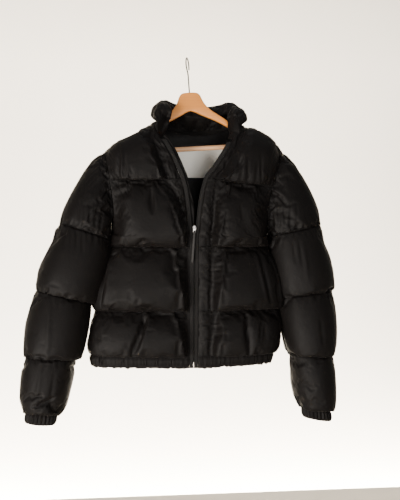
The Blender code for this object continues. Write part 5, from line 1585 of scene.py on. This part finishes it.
def make_bar():
    """Round trouser bar with softly rounded ends, let into the arms' undersides."""
    depths, outs = zip(*sorted((down, out) for out, down in HANGER_UNDER if 90 <= out < 160))
    reach = float(np.interp(BAR_DOWN, depths, outs)) - BAR_PLAY
    piece = added(bpy.ops.mesh.primitive_cylinder_add, vertices=40, radius=BAR_RADIUS * MM,
                  depth=2 * reach * MM, end_fill_type="TRIFAN", rotation=ALONG_X)
    piece.name = "wooden_bar"
    for corner in piece.data.vertices:
        end = float(np.interp(BAR_DOWN - corner.co.z / MM, depths, outs)) - BAR_PLAY
        corner.co.x = end * MM * np.sign(round(corner.co.x, 4))
    placed(piece.data, lambda x, y, z: hang(x, y, HANGER_DOWN + BAR_DOWN - z))
    turn_outwards(piece.data)
    smoothed_edges()
    dress(piece, "hanger_bar", (BAR_WOOD,))


def hook_line():
    """Centre of the wire, from the wood up, round over the rail and down behind it."""
    radius = HOOK_INSIDE + HOOK_WIRE
    turn = math.radians(HOOK_TURN)
    bend = 2.6 * HOOK_INSIDE
    path = [(0.0, down) for down in np.linspace(HANGER_DOWN - SEAM_GAP, bend, 14)]
    path += [(radius * s * s * (3 - 2 * s), bend + (HOOK_INSIDE - bend) * s)
             for s in np.linspace(0, 1, 25)[1:]]
    path += [(radius * math.cos(angle), HOOK_INSIDE - radius * math.sin(angle))
             for angle in np.radians(np.arange(4, 206, 4))]
    return np.array([hang(-forward * math.sin(turn), -forward * math.cos(turn), down)
                     for forward, down in path])


def make_hook():
    """Steel wire hook with a rounded end."""
    path = hook_line()
    wire = bpy.data.curves.new("steel_hook", "CURVE")
    wire.dimensions = "3D"
    spline = wire.splines.new("POLY")
    spline.points.add(len(path) - 1)
    for point, place in zip(spline.points, path):
        point.co = (*(place * MM), 1)
    wire.bevel_depth = HOOK_WIRE * MM
    wire.bevel_resolution = 6
    wire.use_fill_caps = True
    holder = bpy.data.objects.new("steel_hook", wire)
    bpy.context.scene.collection.objects.link(holder)
    fresh()
    holder.select_set(True)
    bpy.context.view_layer.objects.active = holder
    bpy.ops.object.convert(target="MESH")
    piece = bpy.context.object
    ball = added(bpy.ops.mesh.primitive_uv_sphere_add, segments=18, ring_count=12,
                 radius=1.03 * HOOK_WIRE * MM, location=path[-1] * MM)
    joined(piece, ball)
    smoothed_edges()
    dress(piece, "hanger_hook", (CHROME,))


def zip_face(z):
    """Y of the front of the closed tapes, at a height."""
    heights = [SEAM_HEIGHTS[name][0] for name in BODY_SEAMS]
    row = float(np.interp(z, heights, np.arange(len(heights))))
    edge = front_lower("left", np.array(0.0), np.array(row))
    return float(edge[1]) - TAPE_FORWARD - TAPE_WALL / 2


def make_slider():
    """Cast slider at the top of the closed zip, with two lugs that hold the pull; gives back
    the middle of their hinge."""
    x, width, height, depth = SLIDER
    behind = zip_face(SLIDER_HEIGHT) - SEAM_GAP
    before = behind - depth
    waist = 0.36 * width
    half = [(0.55 * waist, 0.5 * height), (0.475 * width, 0.31 * height), (width / 2, 0.2 * height),
            (1.05 * waist, -0.225 * height), (waist, -0.5 * height)]
    mirror = [(-out, up) for out, up in half[::-1]]
    piece = outlined("cast_slider", [(x + out, behind, SLIDER_HEIGHT + up)
                                     for out, up in mirror[-1:] + half + mirror[:-1]])
    middle = [v * MM for v in (x, behind, SLIDER_HEIGHT)]
    steps = []
    for share, narrower, lower in ((0.55, 0.9, 0.94), (0.45, 0.78, 0.86)):
        steps += [pulled_out((0, -share * depth, 0)),
                  (bpy.ops.transform.resize, {"value": (narrower, 1, lower),
                                              "center_override": middle})]
    worked(*steps)
    turn_outwards(piece.data)
    bevelled(piece, 0.5, 3, 25)
    lug_width, lug_height, lug_reach = LUG
    hinge = np.array((x, before - PULL_HEAD[1] - 0.4, SLIDER_HEIGHT + 1.5))
    round_at = before - lug_reach + lug_height / 2
    lugs = []
    for sign in (-1, 1):
        centre = x + sign * (PULL_HEAD[0] / 2 + SEAM_GAP + lug_width / 2)
        lug = added(bpy.ops.mesh.primitive_cylinder_add, vertices=24, radius=lug_height / 2 * MM,
                    depth=lug_width * MM, location=[v * MM for v in (centre, round_at, hinge[2])],
                    rotation=ALONG_X)
        for corner in lug.data.vertices:
            if corner.co.y > round_at * MM:
                corner.co.y = (before + 0.6) * MM
        bevelled(lug, 0.3, 2, 30)
        lugs.append(lug)
    joined(piece, *lugs)
    smoothed_edges()
    dress(piece, "zip_slider", (SLIDER_METAL,))
    return hinge


def make_pull(hinge):
    """Pull that swings in the slider's lugs: a metal head and a long moulded tongue."""
    tongue = added(bpy.ops.mesh.primitive_cube_add, size=1)
    tongue.name = "moulded_pull"
    for corner in tongue.data.vertices:
        out, y, up = (math.copysign(1, v) for v in corner.co)
        corner.co = [v * MM for v in (out * (PULL_TOP[0] if up > 0 else PULL_WIDTH / 2),
                                      y * PULL_WALL / 2,
                                      -PULL_TOP[1] if up > 0 else -PULL_LENGTH)]
    for cut in (PULL_SHOULDER, PULL_LENGTH - 4):
        worked((bpy.ops.mesh.bisect, {"plane_co": (0, 0, -cut * MM), "plane_no": (0, 0, 1)}))
    for corner in tongue.data.vertices:
        if abs(corner.co.z + PULL_SHOULDER * MM) < 1e-5:
            corner.co.x = math.copysign(PULL_WIDTH / 2 * MM, corner.co.x)
        if corner.co.z < -(PULL_LENGTH - 1) * MM:
            corner.co.x *= 0.62
    bevelled(tongue, 0.55, 3, 20)
    ring = added(bpy.ops.mesh.primitive_torus_add, major_segments=32, minor_segments=12,
                 major_radius=2.5 * MM, minor_radius=0.55 * MM, rotation=ALONG_X)
    ring.name = "pull_ring"
    for corner in ring.data.vertices:
        corner.co.y *= 0.62
        corner.co.z -= 2.0 * MM
    width, radius = PULL_HEAD
    pin = added(bpy.ops.mesh.primitive_cylinder_add, vertices=20, radius=radius * MM,
                depth=width * MM, rotation=ALONG_X)
    bevelled(pin, 0.25, 2, 30)
    joined(ring, pin)
    for part, finish in ((ring, SLIDER_METAL), (tongue, PULL_RUBBER)):
        fresh()
        part.select_set(True)
        bpy.context.view_layer.objects.active = part
        for corner in part.data.vertices:
            corner.co.x += PULL_SLANT * min(corner.co.z + 4 * MM, 0)
            corner.co += Vector(hinge * MM)
        smoothed_edges()
        dress(part, None, (finish,), body=PULL)
    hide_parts("zip_pull")


# --- stitches -----------------------------------------------------------------------------
def seam_stitches(smooth, rows, away_from, closed=False):
    """Places of stitches along some rows of an outer cloth, raised a little from the seam."""
    normal = grid_normals(smooth, away_from, closed)
    places = []
    for row in rows:
        path, facing = smooth[row] + normal[row] * 0.15, normal[row]
        if closed:
            path, facing = (np.concatenate([line, line[:1]]) for line in (path, facing))
        else:
            path, facing = path[4:-4], facing[4:-4]
        places += frames_along(path, facing, STITCH_PITCH)
    return places


# --- finishes -----------------------------------------------------------------------------
class Number:
    """A shader socket that takes part in Python's sums."""

    def __init__(self, tree, socket):
        self.tree, self.socket = tree, socket

    def sum(self, operation, *values):
        node = self.tree.nodes.new("ShaderNodeMath")
        node.operation = operation
        for slot, value in zip(node.inputs, values):
            feed(self.tree, slot, value)
        return Number(self.tree, node.outputs[0])

    def __add__(self, other):
        return self.sum("ADD", self, other)

    def __mul__(self, other):
        return self.sum("MULTIPLY", self, other)

    __radd__, __rmul__ = __add__, __mul__

    def sin(self):
        return self.sum("SINE", self)

    def clipped(self):
        result = self.sum("ADD", self, 0.0)
        result.socket.node.use_clamp = True
        return result


def feed(tree, slot, value):
    """Link a number to a socket, or set the socket's own value."""
    if isinstance(value, Number):
        tree.links.new(value.socket, slot)
    else:
        slot.default_value = value


class Finish:
    """A material: values that stay the same sit on the shader's own sockets."""

    def __init__(self, name, **fixed):
        self.material = bpy.data.materials.new(name)
        self.material.use_nodes = True
        self.tree = self.material.node_tree
        self.shader = self.tree.nodes["Principled BSDF"]
        self.set(**fixed)
        self.spot = self.node("TexCoord", out="Object")     # places in metres

    def set(self, **values):
        for name, value in values.items():
            feed(self.tree, self.shader.inputs[name.replace("_", " ")], value)

    def node(self, kind, settings=(), sockets=(), out=0):
        """Any other node: its settings first, then its sockets' values or links."""
        node = self.tree.nodes.new("ShaderNode" + kind)
        for name, value in dict(settings).items():
            setattr(node, name, value)
        for name, value in dict(sockets).items():
            feed(self.tree, node.inputs[name], value)
        return Number(self.tree, node.outputs[out])

    def axes(self, vector):
        parts = self.node("SeparateXYZ", sockets={0: vector})
        return [Number(self.tree, parts.socket.node.outputs[k]) for k in range(3)]

    def weave(self):
        """The cloth's own coordinates in metres, and the parts of them across and up."""
        cloth = self.node("UVMap", {"uv_map": "cloth"})
        return cloth, *self.axes(cloth)[:2]

    def noise(self, vector, scale, detail=2.0, roughness=0.5, distortion=0.0):
        return self.node("TexNoise", sockets={"Vector": vector, "Scale": scale, "Detail": detail,
                                              "Roughness": roughness,
                                              "Distortion": distortion}, out="Fac")

    def stretched(self, vector, x, y, z):
        return self.node("Mapping", sockets={"Vector": vector, "Scale": (x, y, z)})

    def mixed(self, share, dark, light):
        return self.node("Mix", {"data_type": "RGBA"}, {0: share, 6: dark, 7: light}, out=2)

    def toned(self, scale, detail, dark, light, rough, more):
        """A colour and a roughness that wander together over the piece."""
        tone = self.noise(self.spot, scale, detail)
        self.set(Base_Color=self.mixed(tone, dark, light), Roughness=rough + more * tone)

    def bump(self, height, distance, strength=1.0, normal=None):
        sockets = {"Height": height, "Distance": distance, "Strength": strength}
        if normal is not None:
            sockets["Normal"] = normal
        return self.node("Bump", sockets=sockets)


def colour(red, green, blue):
    """A linear colour from the usual 0 to 255 values."""
    parts = [v / 255 for v in (red, green, blue)]
    return tuple(v / 12.92 if v <= 0.04045 else ((v + 0.055) / 1.055) ** 2.4
                 for v in parts) + (1.0,)


NYLON = {"Specular_IOR_Level": 0.09, "Sheen_Weight": 0.015, "Sheen_Roughness": 0.5,
         "Sheen_Tint": colour(196, 178, 168)}


def shell_finish():
    """Black nylon with a soft gloss: a fine weave, small crumples, gathers at the seams, and painted
    shade along the seams.
    """
    made = Finish("black_nylon", **NYLON)
    cloth, across, up = made.weave()
    near = made.node("Attribute", {"attribute_name": "near_seam"}, out="Fac")
    shade = made.mixed(made.noise(made.spot, 7.0, 3.0), SHELL_DARK, SHELL_LIGHT)
    rub = made.noise(made.spot, 60.0, 4.0, 0.6)
    # Darker near each seam: painted shade in its groove, with a random rubbed tone mixed in.
    made.set(Base_Color=made.mixed((near * 0.55 + rub * 0.12).clipped(), shade, SHELL_SEAM_SHADE),
             Roughness=0.50 + 0.14 * rub + 0.06 * near)
    weave = (across * 7800.0).sin() * (up * 7800.0).sin()
    crumple = made.noise(made.spot, 95.0, 4.0, 0.62, 0.6)
    pucker = made.noise(made.stretched(cloth, 165.0, 34.0, 1.0), 1.0, 2.0)
    soft = made.bump(crumple, 0.0011, 0.5)
    drawn = made.bump(pucker * near, 0.0022, 0.9, soft)
    made.set(Normal=made.bump(weave, 0.00004, 0.5, drawn))
    return made.material


def band_finish():
    """The same nylon on the elastic bands, with fine lengthwise gathers."""
    made = Finish("gathered_nylon", **NYLON)
    cloth, across, up = made.weave()
    made.toned(25.0, 3.0, SHELL_DARK, SHELL_LIGHT, 0.52, 0.12)
    gather = made.noise(made.stretched(cloth, 420.0, 45.0, 1.0), 1.0, 3.0)
    weave = (across * 7800.0).sin() * (up * 7800.0).sin()
    made.set(Normal=made.bump(weave, 0.00004, 0.5, made.bump(gather, 0.0012, 0.8)))
    return made.material


def lining_finish():
    """Dark satin lining with a faint diagonal twill."""
    made = Finish("dark_lining", Specular_IOR_Level=0.1, Sheen_Weight=0.01, Sheen_Roughness=0.4)
    _, across, up = made.weave()
    made.toned(14.0, 3.0, (0.0011, 0.0010, 0.0012, 1), (0.0020, 0.0018, 0.0021, 1), 0.34, 0.16)
    twill = ((across + up) * 9000.0).sin()
    crease = made.noise(made.stretched(made.spot, 26.0, 26.0, 9.0), 1.0, 3.0, 0.55, 0.4)
    made.set(Normal=made.bump(twill, 0.00003, 0.4, made.bump(crease, 0.004, 0.6)))
    return made.material


def tape_finish():
    """Woven zip tape, ribbed along its length."""
    made = Finish("woven_tape", Specular_IOR_Level=0.15, Sheen_Weight=0.015, Sheen_Roughness=0.5)
    _, across, up = made.weave()
    made.toned(120.0, 3.0, (0.0036, 0.0032, 0.0030, 1), (0.0058, 0.0053, 0.0050, 1), 0.55, 0.15)
    herring = ((across * 5200.0).sin() * 1.4 + up * 6300.0).sin()
    made.set(Normal=made.bump(herring, 0.00012, 0.8))
    return made.material


def label_finish():
    """Plain off-white woven label."""
    made = Finish("label_satin", Sheen_Weight=0.2, Sheen_Roughness=0.4)
    _, across, up = made.weave()
    made.toned(45.0, 4.0, colour(240, 239, 228), colour(247, 246, 238), 0.5, 0.18)
    weave = (across * 5200.0).sin() * (up * 7400.0).sin()
    soft = made.bump(made.noise(made.spot, 60.0, 2.0), 0.0008, 0.4)
    made.set(Normal=made.bump(weave, 0.00008, 0.7, soft))
    return made.material


def wood_finish(name, dark, light, ring_scale):
    """Waxed pale wood: long grain along the board, fine pores and a few darker streaks."""
    made = Finish(name, Coat_Weight=0.12, Coat_Roughness=0.28, Specular_IOR_Level=0.45)
    wander = made.noise(made.stretched(made.spot, 5.0, 60.0, 60.0), 1.0, 3.0, 0.55, 0.6)
    _, y, z = made.axes(made.spot)
    rings = (z * ring_scale + y * 420.0 + wander * 9.0).sin() * 0.5 + 0.5
    streak = made.noise(made.stretched(made.spot, 12.0, 340.0, 340.0), 1.0, 3.0, 0.6)
    pores = made.noise(made.stretched(made.spot, 60.0, 1500.0, 1500.0), 1.0, 2.0)
    share = (rings * 0.16 + streak * 0.5 + wander * 0.3).clipped()
    made.set(Base_Color=made.mixed(share, light, dark), Roughness=0.40 + 0.2 * streak,
             Normal=made.bump(pores, 0.00012, 0.5, made.bump(rings, 0.00008, 0.4)))
    return made.material


def metal_finish(name, tint, rough, brushed):
    """Plated metal with a fine brushed or cast surface and a few worn spots."""
    made = Finish(name, Metallic=1.0)
    worn = made.noise(made.spot, 260.0, 3.0, 0.6)
    fine = made.noise(made.stretched(made.spot, brushed, 2400.0, 900.0), 1.0, 2.0)
    made.set(Base_Color=made.mixed(worn, tint, tuple(0.86 * v for v in tint[:3]) + (1.0,)),
             Roughness=rough + 0.14 * worn, Normal=made.bump(fine, 0.00003, 0.5))
    return made.material


def thread_finish(name, dark, light, sheen):
    """Twisted sewing thread."""
    made = Finish(name, Specular_IOR_Level=0.2, Sheen_Weight=sheen, Sheen_Roughness=0.5)
    made.toned(300.0, 2.0, dark, light, 0.6, 0.15)
    x, y, z = made.axes(made.spot)
    twist = ((x + z) * 9000.0 + y * 5000.0).sin()
    made.set(Normal=made.bump(twist, 0.00008, 0.7))
    return made.material


def moulded_finish(name, dark, light, rough):
    """Moulded plastic with a satin skin."""
    made = Finish(name, Specular_IOR_Level=0.2)
    made.toned(220.0, 3.0, dark, light, rough, 0.12)
    made.set(Normal=made.bump(made.noise(made.spot, 2600.0, 2.0), 0.00005, 0.5))
    return made.material


def plain_finish(name, dark, light):
    """Matt paper, a little uneven in tone."""
    made = Finish(name, Specular_IOR_Level=0.2)
    made.set(Base_Color=made.mixed(made.noise(made.spot, 1.2, 2.0), dark, light), Roughness=0.9)
    return made.material


# --- stage --------------------------------------------------------------------------------
def make_stage():
    """Plain pale floor that curves up into a wall behind, well clear of the object."""
    fresh()
    bpy.ops.mesh.primitive_plane_add(size=1)
    stage = bpy.context.object
    stage.name = "pale_floor"
    line = [(-5.0, FLOOR)]
    line += [(WALL + BACK_BEND * (math.sin(a) - 1), FLOOR + BACK_BEND * (1 - math.cos(a)))
             for a in np.linspace(0, math.pi / 2, 33)]
    line += [(WALL, FLOOR + 6.5)]
    vertices = [(x, y, z) for x in (-7.0, 7.0) for y, z in line]
    count = len(line)
    mesh = bpy.data.meshes.new("pale_floor")
    mesh.from_pydata(vertices, [], [(k, k + count, k + count + 1, k + 1)
                                    for k in range(count - 1)])
    mesh.shade_smooth()
    stage.data = mesh
    mesh.materials.append(STAGE)


def stood(data, place, ahead):
    """Put a light or a camera at a place, looking ahead."""
    holder = bpy.data.objects.new(data.name, data)
    bpy.context.scene.collection.objects.link(holder)
    holder.location = place
    holder.rotation_euler = ahead.to_track_quat("-Z", "Y").to_euler()
    return holder


def make_lights():
    for name, place, target, size, power, tint in LIGHTS:
        light = bpy.data.lights.new(name, "AREA")
        light.shape = "RECTANGLE"
        light.size, light.size_y = size
        light.energy = power
        light.color = tint
        stood(light, place, Vector(target) - Vector(place))
    world = bpy.data.worlds.new("studio")
    bpy.context.scene.world = world
    world.use_nodes = True
    backdrop = world.node_tree.nodes["Background"]
    backdrop.inputs["Color"].default_value = WORLD_TINT
    backdrop.inputs["Strength"].default_value = WORLD_LIGHT


def make_camera():
    camera = bpy.data.cameras.new("camera")
    camera.lens = 36.0 * CAMERA_FOCUS / 500
    camera.sensor_width = 36.0
    camera.clip_end = 60
    turn = math.radians(CAMERA_TURN)
    ahead = Vector((-math.sin(turn), math.cos(turn), 0))
    right = Vector((math.cos(turn), math.sin(turn), 0))
    target = right * CAMERA_ASIDE + Vector((0, 0, CAMERA_HEIGHT))
    bpy.context.scene.camera = stood(camera, target - ahead * CAMERA_AWAY, ahead)


# --- all of it ----------------------------------------------------------------------------
SHELL = shell_finish()
BAND = band_finish()
LINING = lining_finish()
TAPE = tape_finish()
LABEL = label_finish()
WOOD = wood_finish("waxed_beech", (0.44, 0.155, 0.022, 1), (0.58, 0.22, 0.034, 1), 900.0)
BAR_WOOD = wood_finish("waxed_beech_bar", (0.46, 0.25, 0.12, 1), (0.58, 0.33, 0.17, 1), 1100.0)
CHROME = metal_finish("bright_chrome", (0.06, 0.058, 0.055, 1), 0.32, 40.0)
SLIDER_METAL = metal_finish("cast_nickel", (0.78, 0.755, 0.735, 1), 0.32, 200.0)
PULL_RUBBER = moulded_finish("moulded_grey", colour(30, 29, 28), colour(42, 40, 39), 0.45)
COIL = moulded_finish("black_coil", (0.0028, 0.0026, 0.0025, 1), (0.0045, 0.0042, 0.004, 1), 0.36)
BLACK_THREAD = thread_finish("black_thread", (0.0012, 0.001, 0.001, 1), (0.0022, 0.0019, 0.0018, 1),
                             0.01)
PALE_THREAD = thread_finish("pale_thread", colour(222, 219, 206), colour(238, 235, 224), 0.2)
STAGE = plain_finish("pale_paper", STAGE_DARK, STAGE_LIGHT)

make_camera()
make_stage()
make_lights()

rows = body_rows()
fronts = {side: make_front(side, rows) for side in SIGN}
back = make_back(rows)
sleeves = {side: make_sleeve(side, fronts, back, rows) for side in SIGN}
for side in SIGN:
    make_cuff(side)
make_collar(fronts, back, rows)
# name, surface, width, seed, which way its ends are cut back
make_hem("right", front_base("right"), 235, 3, (-1, 0))
make_hem("left", front_base("left"), 225, 4, (0, -1))
make_hem("back", back_base, 470, 5, (1, 1))
make_zip(rows)
make_guard()
make_label()
make_pull(make_slider())
thread = []
seams = 2 * seam_rows(rows)[1:-1]
for side in SIGN:
    smooth = fronts[side][2]
    thread += make_welt(side, smooth, rows)
    thread += seam_stitches(smooth, seams, smooth - 200.0 * FORWARD)
thread += seam_stitches(back[2], seams, back[2] + 200.0 * FORWARD)
for smooth in sleeves.values():
    thread += seam_stitches(smooth, [k * 2 * CHANNEL_COUNT for k in (1, 2, 3)],
                            smooth.mean(1, keepdims=True), closed=True)
joined_copies("black_stitches", stitch_model(), thread, BLACK_THREAD)
make_yoke()
make_bar()
make_hook()
